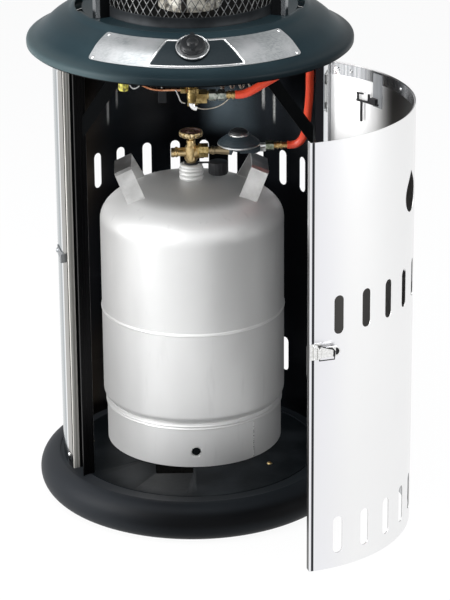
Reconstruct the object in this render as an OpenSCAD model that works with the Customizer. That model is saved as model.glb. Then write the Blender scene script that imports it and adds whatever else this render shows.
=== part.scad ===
// Gas patio heater: a round weighted base, a sheet housing with a curved door on the hinge side,
// a gas cylinder with its regulator and hose inside, and a burner under a round hood on top.
// The origin is the centre of the base's underside, +Z is up, the opening faces -Y and the
// door hangs on the +X side. Angles round the housing count from the front towards +X.

/* [Base] */
// Outer radius of the base rim
base_r = 259; // [250:1:275]
// Radius of the rim's rounded section
rim_tube = 32; // [30:1:34]
// Height of the centre of the rim's rounded section
rim_z = 30; // [29:1:32]
// Wall of the base cover
base_wall = 3; // [2:0.5:4]
// Height of the floor plate's top
floor_z = 59; // [57:0.5:60]
// Thickness of the floor plate
floor_t = 2; // [1.5:0.5:3]
// Radius of the groove round the floor plate
groove_r = 203; // [196:1:208]
// Width of the groove round the floor plate
groove_w = 1.5; // [1:0.5:3]
// Radius of the ballast block
ballast_r = 188; // [150:1:194]
// Thickness of the bottom plate
bottom_t = 2; // [1.5:0.5:3]
// Width of the vent opening in the floor
vent_w = 62; // [40:1:70]
// Depth of the vent opening in the floor
vent_d = 70; // [30:1:80]
// Radius of the floor screws' heads
floor_screw_r = 4.5; // [3:0.5:6]

/* [Housing] */
// Outer radius of the housing
shell_r = 220; // [216:0.5:222]
// Sheet thickness of the housing
shell_t = 1.2; // [0.8:0.1:2]
// Height of the housing's top edge
shell_top = 763; // [740:1:790]
// Angle of the housing's latch side edge
edge_left = -67.5; // [-75:0.5:-62]
// Angle of the housing's hinge side edge
edge_right = 72; // [68:0.5:78]
// Width of an air slot
slot_w = 16; // [8:1:18]
// Height of an air slot
slot_h = 61; // [40:1:70]
// Height of the middle of the housing's air slots
shell_slot_z = 495; // [440:1:520]
// Angle of the housing's single low slot
low_slot_a = 133.7; // [120:0.1:150]
// Height of the housing's single low slot
low_slot_z = 160; // [110:1:200]
// Number of air slots in a row
slot_count = 10; // [6:1:11]
// Angle between two air slots
slot_pitch = 12.857; // [11:0.1:14]
// Depth of the channel at the latch side edge
channel_depth = 23; // [18:1:28]
// Angle that the channel takes
channel_angle = 9; // [8:0.5:11]
// Depth of the stiffener at the hinge side edge
stiffener_depth = 14; // [8:1:16]
// Width of the black braces
brace_w = 20; // [12:1:26]
// Thickness of the black braces
brace_t = 2; // [1.5:0.5:4]

/* [Door] */
// Outer radius of the door
door_r = 224; // [223:0.5:226]
// Sheet thickness of the door
door_t = 1; // [0.8:0.1:1.5]
// Gap between the rim's crown and the door
door_lift = 2; // [1.5:0.5:5]
// Height of the door's top edge
door_top = 748; // [720:1:755]
// Angle of the door's free edge when it is shut
door_left = -66.4; // [-66.5:0.1:-65]
// Angle of the door's hinge edge when it is shut
door_right = 71; // [69:0.1:71]
// Angle by which the door stands open
door_open = 80; // [0:1:100]
// Height of the hems along the door's top and bottom
hem_h = 20; // [12:1:24]
// Thickness of the door's hems and flanges
hem_t = 1.4; // [1:0.1:2]
// Depth of the door's side flanges
flange_depth = 10.5; // [8:0.5:11]
// How much deeper the free flange is beside the latch
flange_more = 4; // [1:0.5:4]
// Height of the middle of the upper row of slots
door_slot_top = 477; // [440:1:500]
// Height of the middle of the lower row of slots
door_slot_low = 118; // [105:1:140]
// Angle of the middle of the door's rows of slots
door_slot_mid = 3.6; // [0:0.1:6]
// Radius of the round part of the teardrop
drop_r = 27; // [15:1:34]
// Height of the teardrop
drop_h = 66; // [50:1:90]
// Height of the teardrop's lowest point
drop_z = 590; // [560:1:640]
// Angle of the teardrop
drop_a = -8; // [-20:1:20]

/* [Hinges] */
// Radius at which the hinge pins stand
hinge_r = 228; // [227.5:0.1:230]
// Radius of a hinge pin
pin_r = 2; // [1.5:0.1:2.5]
// Wall of a knuckle
knuckle_wall = 1.9; // [1.5:0.1:2]
// Height of a hinge
hinge_h = 60; // [40:1:80]
// Height of the lowest hinge
hinge_low = 120; // [100:1:160]
// Height of the highest hinge
hinge_high = 692; // [620:1:710]
// Number of hinges
hinge_count = 3; // [2:1:4]
// Thickness of a hinge leaf
leaf_t = 1.2; // [1:0.1:1.6]

/* [Latch] */
// Height of the latch and its keeper
latch_z = 424; // [330:1:440]
// Angle of the latch lever's pin when the door is shut
latch_a = -64.3; // [-64.5:0.1:-60]
// Radius of the latch pin
latch_pin_r = 1.5; // [1:0.1:1.8]
// Distance of the latch pin from the door
latch_pin_y = 5; // [4.5:0.1:6]
// Length of the lever from its pin
lever_l = 38; // [30:1:45]
// Height of the lever
lever_h = 16; // [12:1:18]
// Length of the wire bail
bail_l = 24; // [20:1:30]
// Radius of the bail's wire
bail_wire = 1.1; // [0.8:0.1:1.2]
// Angle of the keeper's rivet
keeper_a = -81.4; // [-86:0.1:-80]

/* [Collar and controls] */
// Outer radius of the collar
collar_r = 260; // [255:1:268]
// Wall of the collar
collar_wall = 3; // [2:0.5:4]
// Thickness of the ring that carries the collar
ring_t = 3; // [2:0.5:5]
// Inner radius of the ring that carries the collar
ring_in = 120; // [100:1:135]
// Half of the angle that the control plate takes
plate_half = 43; // [30:1:50]
// Thickness of the control plate
plate_t = 1.2; // [0.8:0.1:2]
// Distance of the knob's centre from the axis
knob_place = 210; // [205:1:215]
// Lean of the knob's axis
knob_tilt = 30; // [27:1:33]
// Radius of the knob
knob_r = 20; // [16:1:21]
// Height of the knob
knob_h = 17; // [12:1:24]
// Outer radius of the bright ring round the knob
bezel_r = 26; // [25:0.5:30]
// Radius of the knob's spindle
spindle_r = 4; // [3:0.1:5]
// Length of the spindle below the collar
spindle_l = 86; // [80:1:92]
// How far the knob pushes in
knob_push = 4; // [2:0.5:5]

/* [Burner and hood] */
// Outer radius of the burner's guard
guard_r = 141; // [125:1:145]
// Height of the guard's lower band
guard_band_h = 17; // [12:1:24]
// Height of the whole guard
guard_h = 238; // [180:1:260]
// Thickness of the guard's mesh
mesh_t = 1.5; // [1:0.1:2]
// Radius of the burner
burner_r = 50; // [40:1:60]
// Height of the burner
burner_h = 180; // [120:1:210]
// Distance of the posts from the axis
post_place = 163; // [160:1:163]
// Width of a post
post_w = 11; // [8:1:14]
// Angle of the front posts
post_a = 64; // [55:1:70]
// Height of the hood's brim
brim_z = 1150; // [1080:1:1200]
// Radius of the hood
hood_r = 280; // [260:1:300]
// Height of the hood
hood_h = 90; // [70:1:110]
// Sheet thickness of the hood
hood_t = 1.5; // [1:0.1:2.5]

/* [Gas cylinder] */
// Radius of the gas cylinder
cyl_r = 151.5; // [140:0.5:154]
// Gap between the cylinder and the housing's back wall
cyl_back_gap = 11.3; // [5:0.1:40]
// Height where the cylinder's shoulder starts
shoulder_z = 447; // [400:1:470]
// Height of the cylinder's shoulder
shoulder_h = 66; // [55:1:75]
// Height where the lower end starts
heel_z = 150; // [145:1:170]
// Depth of the lower end
heel_h = 45; // [35:1:55]
// Wall of the cylinder
cyl_wall = 4; // [3:0.5:6]
// Radius of the foot ring
foot_r = 146; // [130:0.5:148]
// Wall of the foot ring
foot_t = 3; // [2:0.5:4]
// Width of a handle strap
strap_w = 30; // [20:1:36]
// Thickness of a handle strap
strap_t = 3.5; // [2.5:0.5:5]
// Height of a handle along its lean
strap_h = 54; // [45:1:65]
// Lean of a handle
strap_lean = 25; // [15:1:32]
// Radius of the neck ring
neck_r = 20; // [17:0.5:24]
// Height of the neck ring
neck_h = 26; // [22:1:30]
// Radius of the handwheel
wheel_r = 20; // [17:0.5:26]

/* [Regulator and hose] */
// Distance of the regulator's centre from the cylinder valve
reg_x = 78; // [70:1:85]
// Radius of the regulator's disc
reg_r = 35; // [28:0.5:38]
// Radius of the hose
hose_r = 6.5; // [5:0.5:6.5]
// Number of sides of the hose
hose_sides = 10; // [8:1:12]
// Number of rings between two points of the hose's route
hose_steps = 3; // [1:1:4]

/* [Hidden] */
$fn = 96;
// Clearances: a seat between still pieces, a gap between moving ones, a running fit, a cut's reach
seat = 0.1;
gap = 0.3;
fit = 0.05;
far = 400;
eps = 1;
// Levels and radii that follow from the sizes
rim_centre = base_r - rim_tube;
crown_z = rim_z + rim_tube;
ledge_r = door_r + 2;
deck_under = floor_z - floor_t - base_wall;
door_bottom = crown_z + door_lift;
ring_z = shell_top;
collar_z = ring_z + ring_t;
shell_in = shell_r - shell_t;
cyl_y = shell_in - cyl_r - cyl_back_gap;
channel_out = shell_in - seat;
hem_out = door_r - door_t - seat;
hinge_x = hinge_r * sin(edge_right);
hinge_y = -hinge_r * cos(edge_right);
knuckle_r = pin_r + fit + knuckle_wall;
knuckle_h = hinge_h / 4;
// The vent lies towards the latch side of the middle, in front of and under the cylinder
vent_x = -36;
vent_y = -77;
// Floor screws, as distance from the axis and angle from the front
floor_screws_at = [[176, -98], [145, 56.5], [176, 150], [145, -150]];
// Braces: where each starts under the ring and where it meets the housing's edge
left_brace_at = [[-99, -112, shell_top], [-172, -106, 655]];
right_brace_at = [[99, -112, shell_top], [189, -62, 624]];
// Angles of the screws round the housing, and of the rivets along the door's hems
shell_screw_angles = [-72, 78, 120, 180, 240];
door_rivet_angles = [-60, -30, 0, 30, 61, 67];
// Keeper: its end and hook, half its height, and how far the hook stands out
keeper_end = -70.4;
keeper_half = 7;
keeper_hook = 6;
// Wire clip inside the door: thickness, first and last angle, and levels below the door's top
clip_bars = [[3, 45.5, 57.5, -55, -52], [3, 54.6, 55.4, -87, -52], [6, 46, 49.5, -53, -44],
    [2, 50.5, 51.5, -53, -40], [2, 56.5, 57.4, -53, -41], [2, 54, 57.5, -43, -41]];
// Collar outline from the lip's bottom up over the shoulder to the neck, as radius and height
neck_in = 139;
lip_in = collar_r - collar_wall;
collar_top = [[0, 0], [0, 7], [-3, 11], [-12, 15], [-21, 21], [-30, 29], [-39, 37], [-48, 43],
    [-58, 48], [-68, 53], [-74, 58], [-80, 61], [-84.5, 60], [-88, 57.5], [-92, 56]];
deck_z = collar_z + 56;
plate_first = 4;
plate_last = 9;
// The plate's screws: distance inside the collar's edge and height above its lip
plate_screw_at = [[-25, 27.2], [-64, 53.2]];
// Knob axis: its foot on the collar's slope
knob_z = collar_z + 43;
// Distance of the handles' feet from the cylinder's axis
handle_x = 89.5;
// Height of the holes through the foot ring
foot_hole_z = 87;
// Cylinder levels
dome_z = shoulder_z + shoulder_h;
neck_z = dome_z + neck_h - eps;
valve_z = neck_z + 22;
wheel_z = valve_z + 25;
valve_r = 10;
outlet_r = 9;
stem_r = 6;
outlet_l = 21;
nut_near = 12;
nut_far = 28;
relief_l = 33;
wheel_stem_r = 4;
// Cap of the valve's outlet
cap_x = 44;
cap_r = 16;
cap_h = 21;
// Regulator levels, and the hose tail's place
reg_z = valve_z + 16;
tail_z = valve_z + 7;
tail_x = reg_x + reg_r + 9;
tail_l = 35;
hose_in_x = tail_x + tail_l;
// Gas valve under the collar: block, pipe to the burner, fittings and the hose's other end
block = [30, 26, 30];
block_x = -8;
block_y = -178;
block_z = ring_z - 57;
pipe_y = -70;
pipe_r = 5;
fit_y = -160;
fit_z = block_z + 15;
fit_x = 22;
hose_out_x = 66;
plug_h = 33;
// Copper tube of the pilot flame, as points from the gas valve
pilot_path = [[-seat, 6, 22], [-7, 6, 22], [-12, 6, 23], [-24, 6, 26], [-72, 6, 39], [-80, 6, 43],
    [-84, 6, 50], [-84, 6, 57]];
// The hose's route, chosen by hand: from the hose tail up the wall, then forward to the gas valve.
// The first list counts from the tail's end and the second from the gas valve's fitting.
hose_up = [[seat, 0, 0], [9, 0, 0.2], [18, -2, 4], [25, -6, 14], [29, -12, 29], [31, -20, 47],
    [32, -30, 67], [33, -44, 89], [33, -60, 112], [32, -78, 134]];
hose_on = [[122, 118, 0.5], [119, 96, 17], [114, 74, 29], [106, 53, 34.5], [95, 35, 35], [81, 20, 32],
    [65, 10, 26], [48, 4, 18], [32, 1, 9.5], [18, 0, 2.5], [8, 0, 0], [seat, 0, 0]];
hose_path = concat([for (p = hose_up) [hose_in_x, cyl_y, tail_z] + p],
    [for (p = hose_on) [hose_out_x, fit_y, fit_z] + p]);

module at_angle(a, r, z) {
    rotate([0, 0, a]) translate([0, -r, z]) children();
}

// A wall round the axis from angle a0 to a1, with its outer radius, thickness and levels
module arc_wall(r, t, a0, a1, z0, z1) {
    rotate([0, 0, a0 - 90]) rotate_extrude(angle = a1 - a0) translate([r - t, z0]) square([t, z1 - z0]);
}

// A flat plate that stands along a radius at angle a
module radial_plate(r_in, r_out, t, a, z0, z1) {
    rotate([0, 0, a]) translate([-t / 2, -r_out, z0]) cube([t, r_out - r_in, z1 - z0]);
}

module slot_outline(w, h) {
    square([w, h - w], center = true);
    translate([0, (h - w) / 2]) circle(w / 2);
    translate([0, -(h - w) / 2]) circle(w / 2);
}

// A cutter that passes through a wall of radius r at angle a
module through_wall(a, r, z) {
    at_angle(a, r, z) rotate([90, 0, 0]) linear_extrude(height = 30, center = true) children();
}

function unit(v) = v / norm(v);

// A tube of flat facets swept along a line of points
module sweep_tube(line, r, sides) {
    n = len(line);
    dir = [for (i = [0 : n - 1]) unit(unit(line[min(i + 1, n - 1)] - line[min(i, n - 2)])
        + unit(line[max(i, 1)] - line[max(i - 1, 0)]))];
    side = [for (d = dir) unit(cross(d, [0.3, 1, 0.2]))];
    points = [for (i = [0 : n - 1]) for (k = [0 : sides - 1])
        let (a = 360 * k / sides) line[i] + r * (cos(a) * side[i] + sin(a) * cross(dir[i], side[i]))];
    walls = [for (i = [0 : n - 2]) for (k = [0 : sides - 1]) for (h = [0, 1])
        let (m = (k + 1) % sides, a = i * sides + k, b = i * sides + m, c = a + sides, d = b + sides)
        h == 0 ? [a, b, d] : [a, d, c]];
    caps = [for (k = [1 : sides - 2]) for (h = [0, 1])
        h == 0 ? [0, k + 1, k] : [(n - 1) * sides, (n - 1) * sides + k, (n - 1) * sides + k + 1]];
    polyhedron(points = points, faces = [for (f = concat(walls, caps)) [f[2], f[1], f[0]]]);
}

// Turns what is modelled on the shut door to the place where the door stands open
module on_door() {
    translate([hinge_x, hinge_y, 0]) rotate([0, 0, door_open]) translate([-hinge_x, -hinge_y, 0]) children();
}

// Base

module base_section() {
    difference() {
        union() {
            translate([rim_centre, rim_z]) circle(rim_tube);
            square([rim_centre, crown_z]);
        }
        intersection() {
            translate([rim_centre, rim_z]) circle(rim_tube - base_wall);
            translate([rim_centre + base_wall, 0]) square([rim_tube, 2 * rim_tube]);
        }
        translate([-eps, -eps]) square([rim_centre + base_wall + eps, deck_under + eps]);
        translate([0, -rim_tube]) square([2 * base_r, rim_tube]);
        translate([-eps, floor_z]) square([ledge_r + eps, rim_tube]);
        translate([-eps, floor_z - floor_t]) square([groove_r + eps, rim_tube]);
    }
}

module vent_cut(z0, z1) {
    translate([vent_x - vent_w / 2, vent_y - vent_d / 2, z0]) cube([vent_w, vent_d, z1 - z0]);
}

module base_cover() {
    color("#24292c") difference() {
        rotate_extrude() base_section();
        vent_cut(deck_under - eps, floor_z + eps);
    }
}

module floor_plate() {
    color("#1d2123") difference() {
        translate([0, 0, floor_z - floor_t]) cylinder(h = floor_t, r = groove_r - groove_w);
        vent_cut(deck_under, floor_z + eps);
    }
}

module ballast() {
    color("#8d8b86") difference() {
        translate([0, 0, bottom_t]) cylinder(h = deck_under - bottom_t, r = ballast_r);
        vent_cut(deck_under / 2, deck_under + eps);
    }
}

module bottom_plate() {
    color("#3a3d3f") cylinder(h = bottom_t, r = rim_centre + base_wall - 2 * gap);
}

module floor_screws() {
    color("#a98a45") for (s = floor_screws_at) at_angle(s[1], s[0], floor_z) difference() {
        cylinder(h = floor_screw_r / 2, r1 = floor_screw_r, r2 = floor_screw_r * 0.6);
        translate([0, 0, floor_screw_r / 2]) cube([2 * floor_screw_r, 1, 1.4], center = true);
    }
}

// Housing

module housing_shell() {
    color("#c9cccd") difference() {
        arc_wall(shell_r, shell_t, edge_right, edge_left + 360, floor_z, shell_top);
        for (i = [0 : slot_count - 1]) {
            through_wall(180 + (i - (slot_count - 1) / 2) * slot_pitch, shell_r, shell_slot_z)
                slot_outline(slot_w, slot_h);
        }
        through_wall(low_slot_a, shell_r, low_slot_z) slot_outline(slot_w, slot_h);
    }
}

// Latch side: an open channel that takes the door's flange
module left_channel() {
    a0 = edge_left + 0.2;
    a1 = edge_left + channel_angle;
    r_in = channel_out - channel_depth;
    z0 = floor_z + seat;
    z1 = shell_top - seat;
    color("#aeb2b4") union() {
        arc_wall(channel_out, shell_t, edge_left - 3, a0, z0, z1);
        radial_plate(r_in + gap, channel_out - gap, shell_t, a0, z0 + gap, z1 - gap);
        arc_wall(r_in + shell_t, shell_t, a0, a1, z0, z1);
        radial_plate(r_in + gap, channel_out - gap, shell_t, a1, z0 + gap, z1 - gap);
        arc_wall(channel_out, shell_t, a1, a1 + 1, z0, z1);
    }
}

// Hinge side: a folded stiffener behind the housing's edge
module right_stiffener() {
    a0 = edge_right + 0.6;
    r_in = channel_out - stiffener_depth;
    z0 = floor_z + seat;
    z1 = shell_top - seat;
    color("#55595b") union() {
        arc_wall(channel_out, shell_t, a0, a0 + 5, z0, z1);
        radial_plate(r_in + gap, channel_out - gap, shell_t, a0, z0 + gap, z1 - gap);
        arc_wall(r_in + shell_t, shell_t, a0, a0 + 2, z0, z1);
    }
}

// A flat strut from the ring down to the housing's edge, cut square to the ring and to the edge
module brace(top, foot, edge, side) {
    d = foot - top;
    l = norm(d);
    difference() {
        translate(top) rotate([0, acos(d[2] / l), atan2(d[1], d[0])])
            translate([-brace_w / 2, -brace_t / 2, -40]) cube([brace_w, brace_t, l + 80]);
        translate([-far, -far, ring_z]) cube([2 * far, 2 * far, far]);
        rotate([0, 0, edge]) translate([side > 0 ? 0 : -far, -far, 0]) cube([far, far, 2 * far]);
    }
}

module left_brace() {
    color("#141617") brace(left_brace_at[0], left_brace_at[1], edge_left + channel_angle + gap, -1);
}

module right_brace() {
    color("#141617") brace(right_brace_at[0], right_brace_at[1], edge_right + gap, 1);
}

module shell_screws() {
    color("#d6d8d8") for (z = [floor_z + 18, shell_top - 24]) for (a = shell_screw_angles)
        at_angle(a, shell_r + seat, z) rotate([90, 0, 0]) cylinder(h = 2, r1 = 4, r2 = 2.6);
}

// Keeper: a riveted strap with a hook for the bail
module latch_keeper() {
    z0 = latch_z - keeper_half;
    z1 = latch_z + keeper_half;
    strap = shell_r + seat + 1.5;
    hook = shell_r + seat + keeper_hook;
    color("#4a4d4f") {
        arc_wall(strap, 1.5, keeper_a - 2, keeper_end, z0, z1);
        arc_wall(hook, keeper_hook - seat, keeper_end - 0.8, keeper_end, z0, z1);
        arc_wall(hook, 1.5, keeper_end - 1.8, keeper_end, z0, z1);
        at_angle(keeper_a, strap, latch_z) rotate([90, 0, 0]) cylinder(h = 2.5, r1 = 4.5, r2 = 3);
    }
}

// Hinges: two fixed knuckles each, and one knuckle on the door between them

function hinge_z(i) = hinge_low + i * (hinge_high - hinge_low) / (hinge_count - 1);

module knuckle(z0, h) {
    translate([hinge_x, hinge_y, z0]) cylinder(h = h, r = knuckle_r);
}

module pin_bore(clear) {
    translate([hinge_x, hinge_y, 0]) cylinder(h = 2 * far, r = pin_r + clear);
}

module hinge_fixed_leaves() {
    color("#9fa3a4") for (i = [0 : hinge_count - 1]) difference() {
        union() {
            arc_wall(shell_r + seat + leaf_t, leaf_t, edge_right + 0.6, edge_right + 8,
                hinge_z(i) - hinge_h / 2, hinge_z(i) + hinge_h / 2);
            for (s = [-1, 1]) {
                z = hinge_z(i) + s * (hinge_h / 2 - knuckle_h / 2) - knuckle_h / 2;
                knuckle(z, knuckle_h);
                radial_plate(shell_r + seat, hinge_r - pin_r, leaf_t, edge_right + 0.6, z, z + knuckle_h);
            }
        }
        pin_bore(fit / 2);
    }
}

module hinge_pins() {
    color("#c4c7c8") for (i = [0 : hinge_count - 1]) translate([hinge_x, hinge_y, hinge_z(i) - hinge_h / 2]) {
        cylinder(h = hinge_h + seat, r = pin_r);
        translate([0, 0, hinge_h + seat]) cylinder(h = 1.5, r = pin_r + 1.2);
    }
}

module hinge_door_leaves() {
    z_half = hinge_h / 2 - knuckle_h - gap;
    color("#9fa3a4") on_door() for (i = [0 : hinge_count - 1]) difference() {
        union() {
            arc_wall(door_r + seat + leaf_t, leaf_t, door_right - 7, edge_right - 0.4,
                hinge_z(i) - z_half, hinge_z(i) + z_half);
            knuckle(hinge_z(i) - z_half, 2 * z_half);
        }
        pin_bore(fit);
    }
}

// Door

module teardrop() {
    tip = drop_h - drop_r;
    touch = asin(drop_r / tip);
    translate([0, drop_r]) {
        circle(drop_r);
        polygon([[0, tip], for (s = [1, -1]) [s * drop_r * cos(touch), drop_r * sin(touch)]]);
    }
}

module door_skin() {
    color("#c4c7c8") on_door() difference() {
        arc_wall(door_r, door_t, door_left, door_right, door_bottom, door_top);
        for (i = [0 : slot_count - 1]) for (z = [door_slot_low, door_slot_top]) {
            through_wall(door_slot_mid + (i - (slot_count - 1) / 2) * slot_pitch, door_r, z)
                slot_outline(slot_w, slot_h);
        }
        through_wall(drop_a, door_r, drop_z) teardrop();
    }
}

module door_top_hem() {
    color("#b9bcbd") on_door()
        arc_wall(hem_out, hem_t, door_left + 0.7, door_right - 0.9, door_top - hem_h, door_top - 1);
}

module door_bottom_hem() {
    color("#b9bcbd") on_door()
        arc_wall(hem_out, hem_t, door_left + 0.7, door_right - 0.9, door_bottom + 1, door_bottom + hem_h);
}

// Flange along the door's free edge, folded in and deeper beside the latch
module door_free_flange() {
    y = -hem_out;
    shallow = y + flange_depth;
    deep = shallow + flange_more;
    low = latch_z - 45;
    high = latch_z + 7;
    color("#d2d5d6") on_door() rotate([0, 0, door_left + 0.25]) translate([-hem_t / 2, 0, 0])
        rotate([90, 0, 90]) linear_extrude(height = hem_t) polygon([[y, door_bottom], [shallow, door_bottom],
            [shallow, low], [deep, low + flange_more], [deep, high - flange_more], [shallow, high],
            [shallow, door_top], [y, door_top]]);
}

module door_hinge_flange() {
    color("#8f9394") on_door()
        radial_plate(hem_out - flange_depth, hem_out, hem_t, door_right - 0.4, door_bottom, door_top);
}

// Grey bracket and black wire clip inside the door near its top
module door_bracket() {
    color("#83878a") on_door()
        arc_wall(hem_out - hem_t - seat, 1.2, 43.5, 49, door_top - 58, door_top - 4);
}

module door_clip() {
    r_out = hem_out - hem_t - seat - 1.2 - seat;
    color("#17191a") on_door() union() {
        for (b = clip_bars) arc_wall(r_out, b[0], b[1], b[2], door_top + b[3], door_top + b[4]);
    }
}

module door_rivets() {
    color("#e3e4e4") on_door() for (a = door_rivet_angles) for (z = [door_top - 11, door_bottom + 11])
        at_angle(a, hem_out - hem_t - seat, z) rotate([-90, 0, 0]) cylinder(h = 1.4, r1 = 3, r2 = 1.8);
}

// Latch. Its own frame: X along the door's face, -Y out of it, the lever's pin along Z

module at_latch() {
    on_door() at_angle(latch_a, door_r + seat, latch_z) children();
}

latch_half = lever_h / 2;
ear_in = latch_half + gap;
ear_out = ear_in + 1.6;
bail_z = ear_out + bail_wire + gap;
bail_pin = [4.5, -latch_pin_y - 4.2, 0];

module latch_base() {
    color("#dadcdc") at_latch() difference() {
        union() {
            translate([-8, -1.2, -13]) cube([18, 1.2, 26]);
            for (s = [-1, 1]) translate([0, 0, s > 0 ? ear_in : -ear_out]) {
                translate([0, -latch_pin_y, 0]) cylinder(h = ear_out - ear_in, r = 3.2);
                translate([-3.2, -latch_pin_y, 0]) cube([6.4, latch_pin_y - 0.6, ear_out - ear_in]);
            }
        }
        translate([0, -latch_pin_y, -far]) cylinder(h = 2 * far, r = latch_pin_r + fit / 2);
    }
}

// Riveted pin of the lever, one of the door's rivets
module latch_pin() {
    color("#e3e4e4") at_latch() translate([0, -latch_pin_y, -ear_out - 0.8]) {
        cylinder(h = 2 * ear_out + 0.8 + seat, r = latch_pin_r);
        translate([0, 0, 2 * ear_out + 0.8 + seat]) cylinder(h = 0.7, r = latch_pin_r + 0.8);
    }
}

module latch_lever() {
    moon = latch_half * 0.75;
    color("#e0e2e2") at_latch() difference() {
        union() {
            translate([0, -latch_pin_y, -latch_half]) cylinder(h = lever_h, r = 3.2);
            translate([bail_pin[0], bail_pin[1], -latch_half]) cylinder(h = lever_h, r = 2.6);
            translate([0, -latch_pin_y - 2.2, -latch_half]) cube([lever_l - latch_half, 1.6, lever_h]);
            translate([lever_l - latch_half, -latch_pin_y - 0.6, 0]) rotate([90, 0, 0])
                cylinder(h = 1.6, r = latch_half);
        }
        translate([0, -latch_pin_y, -far]) cylinder(h = 2 * far, r = latch_pin_r + fit);
        translate([bail_pin[0], bail_pin[1], -far]) cylinder(h = 2 * far, r = bail_wire + fit);
        translate([lever_l - latch_half, -latch_pin_y, 0]) rotate([90, 0, 0]) intersection() {
            cylinder(h = 8, r = moon, center = true);
            translate([0.5, -far, -far]) cube([far, 2 * far, 2 * far]);
        }
    }
}

module latch_bail() {
    p = bail_pin;
    route = [[p[0], p[1], bail_z], [p[0] + bail_l - 3, p[1], bail_z * 0.42],
        [p[0] + bail_l, p[1], bail_z * 0.1], [p[0] + bail_l - 1, p[1], -bail_z], [p[0], p[1], -bail_z]];
    ends = [for (s = [1, -1]) [p[0], p[1], s * latch_half / 2]];
    color("#1f2224") at_latch() sweep_tube(concat([ends[0]], route, [ends[1]]), bail_wire, 8);
}

// Collar and controls

function collar_point(i) = [collar_r, collar_z] + collar_top[i];

function collar_points(up) = [for (i = [0 : len(collar_top) - 1]) collar_point(i) + [0, up]];

module collar_outline(up) {
    polygon(concat(collar_points(up), [[neck_in, deck_z + up], [neck_in, collar_z]]));
}

module knob_axis() {
    translate([0, -knob_place, knob_z]) rotate([knob_tilt, 0, 0]) children();
}

module top_ring() {
    color("#1b1e20") difference() {
        translate([0, 0, ring_z]) difference() {
            cylinder(h = ring_t, r = lip_in - 2 * gap);
            translate([0, 0, -eps]) cylinder(h = ring_t + 2 * eps, r = ring_in);
        }
        knob_axis() cylinder(h = 2 * far, r = 14, center = true);
    }
}

module collar() {
    color("#33403f") difference() {
        rotate_extrude() difference() {
            collar_outline(0);
            intersection() {
                translate([-collar_wall, -collar_wall - 1.5]) collar_outline(0);
                translate([neck_in + collar_wall, 0]) square([far, 4 * far]);
            }
            translate([neck_in + collar_wall, collar_z - eps])
                square([lip_in - neck_in - collar_wall, 2 * eps]);
        }
        knob_axis() cylinder(h = 40, r = spindle_r + 1, center = true);
        for (s = [-1, 1]) rotate([0, 0, s * 87 - 12.5 - 90]) rotate_extrude(angle = 25)
            translate([171, deck_z - 6]) square([11, 30]);
    }
}

module control_plate() {
    low = [for (i = [plate_first : plate_last]) collar_point(i) + [seat, seat]];
    high = [for (i = [plate_last : -1 : plate_first]) collar_point(i) + [seat, seat] + plate_t * [0.6, 1]];
    color("#8b9193") difference() {
        rotate([0, 0, -plate_half - 90]) rotate_extrude(angle = 2 * plate_half) polygon(concat(low, high));
        knob_axis() cylinder(h = 40, r = spindle_r + 1, center = true);
    }
}

module plate_screws() {
    color("#c9cccd") for (a = [-plate_half + 2, plate_half - 2]) for (k = plate_screw_at)
        at_angle(a, collar_r + k[0], collar_z + k[1]) rotate([knob_tilt + 4, 0, 0])
            cylinder(h = 1.8, r1 = 3, r2 = 2);
}

module knob_bezel() {
    color("#d8dada") difference() {
        knob_axis() difference() {
            translate([0, 0, -6]) cylinder(h = 12, r = bezel_r);
            translate([0, 0, -10]) cylinder(h = 30, r = bezel_r - 3);
        }
        rotate_extrude($fn = 400) translate([seat + plate_t * 0.6 + seat, 0])
            collar_outline(plate_t + 2 * seat + eps);
    }
}

module knob_spindle() {
    color("#9a9d9e") knob_axis() translate([0, 0, -spindle_l])
        cylinder(h = spindle_l + knob_push + 14, r = spindle_r);
}

module control_knob() {
    color("#101213") knob_axis() difference() {
        union() {
            translate([0, 0, knob_push + 3]) cylinder(h = knob_h - 3, r1 = knob_r, r2 = knob_r - 2);
            translate([-3.5, -knob_r + 1, knob_push + 3]) cube([7, 2 * knob_r - 2, knob_h]);
        }
        translate([0, 0, -far]) cylinder(h = far + knob_push + 14 + gap, r = spindle_r + fit);
    }
}

module gas_valve() {
    color("#a8873f") difference() {
        union() {
            translate([block_x, block_y, block_z]) cube(block);
            knob_axis() translate([0, 0, -spindle_l - 6]) cylinder(h = 34, r = 10);
            translate([0, pipe_y, fit_z]) {
                rotate([90, 0, 0]) cylinder(h = pipe_y - block_y - block[1] + eps, r = pipe_r);
                sphere(pipe_r);
                cylinder(h = deck_z - 4 - fit_z, r = pipe_r);
            }
            translate([fit_x - eps, fit_y, fit_z]) rotate([0, 90, 0]) cylinder(h = 4, r = 7);
        }
        knob_axis() translate([0, 0, -spindle_l - knob_push - gap]) cylinder(h = far, r = spindle_r + fit);
    }
}

module valve_fittings() {
    color("#7d8a72") translate([fit_x + 3, fit_y, fit_z]) rotate([0, 90, 0]) {
        cylinder(h = 11, r = 9.5, $fn = 6);
        translate([0, 0, 11]) cylinder(h = 3, r = 6);
        translate([0, 0, 14]) cylinder(h = 11, r = 9, $fn = 6);
        translate([0, 0, 25]) cylinder(h = hose_out_x - fit_x - 28, r = 5.5);
        translate([0, 0, 30]) cylinder(h = 3, r = 7);
        translate([0, 0, 36]) cylinder(h = 3, r = 7);
    }
}

module pilot_tube() {
    color("#b5713f") sweep_tube([for (p = pilot_path) [block_x, block_y, block_z] + p], 2.5, 10);
}

module igniter_plug() {
    color("#c9b23a") translate([-106, -160, ring_z - plug_h]) {
        cylinder(h = plug_h / 2, r = 8);
        translate([0, 0, plug_h / 2]) cylinder(h = plug_h / 2, r = 10);
    }
}

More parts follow.
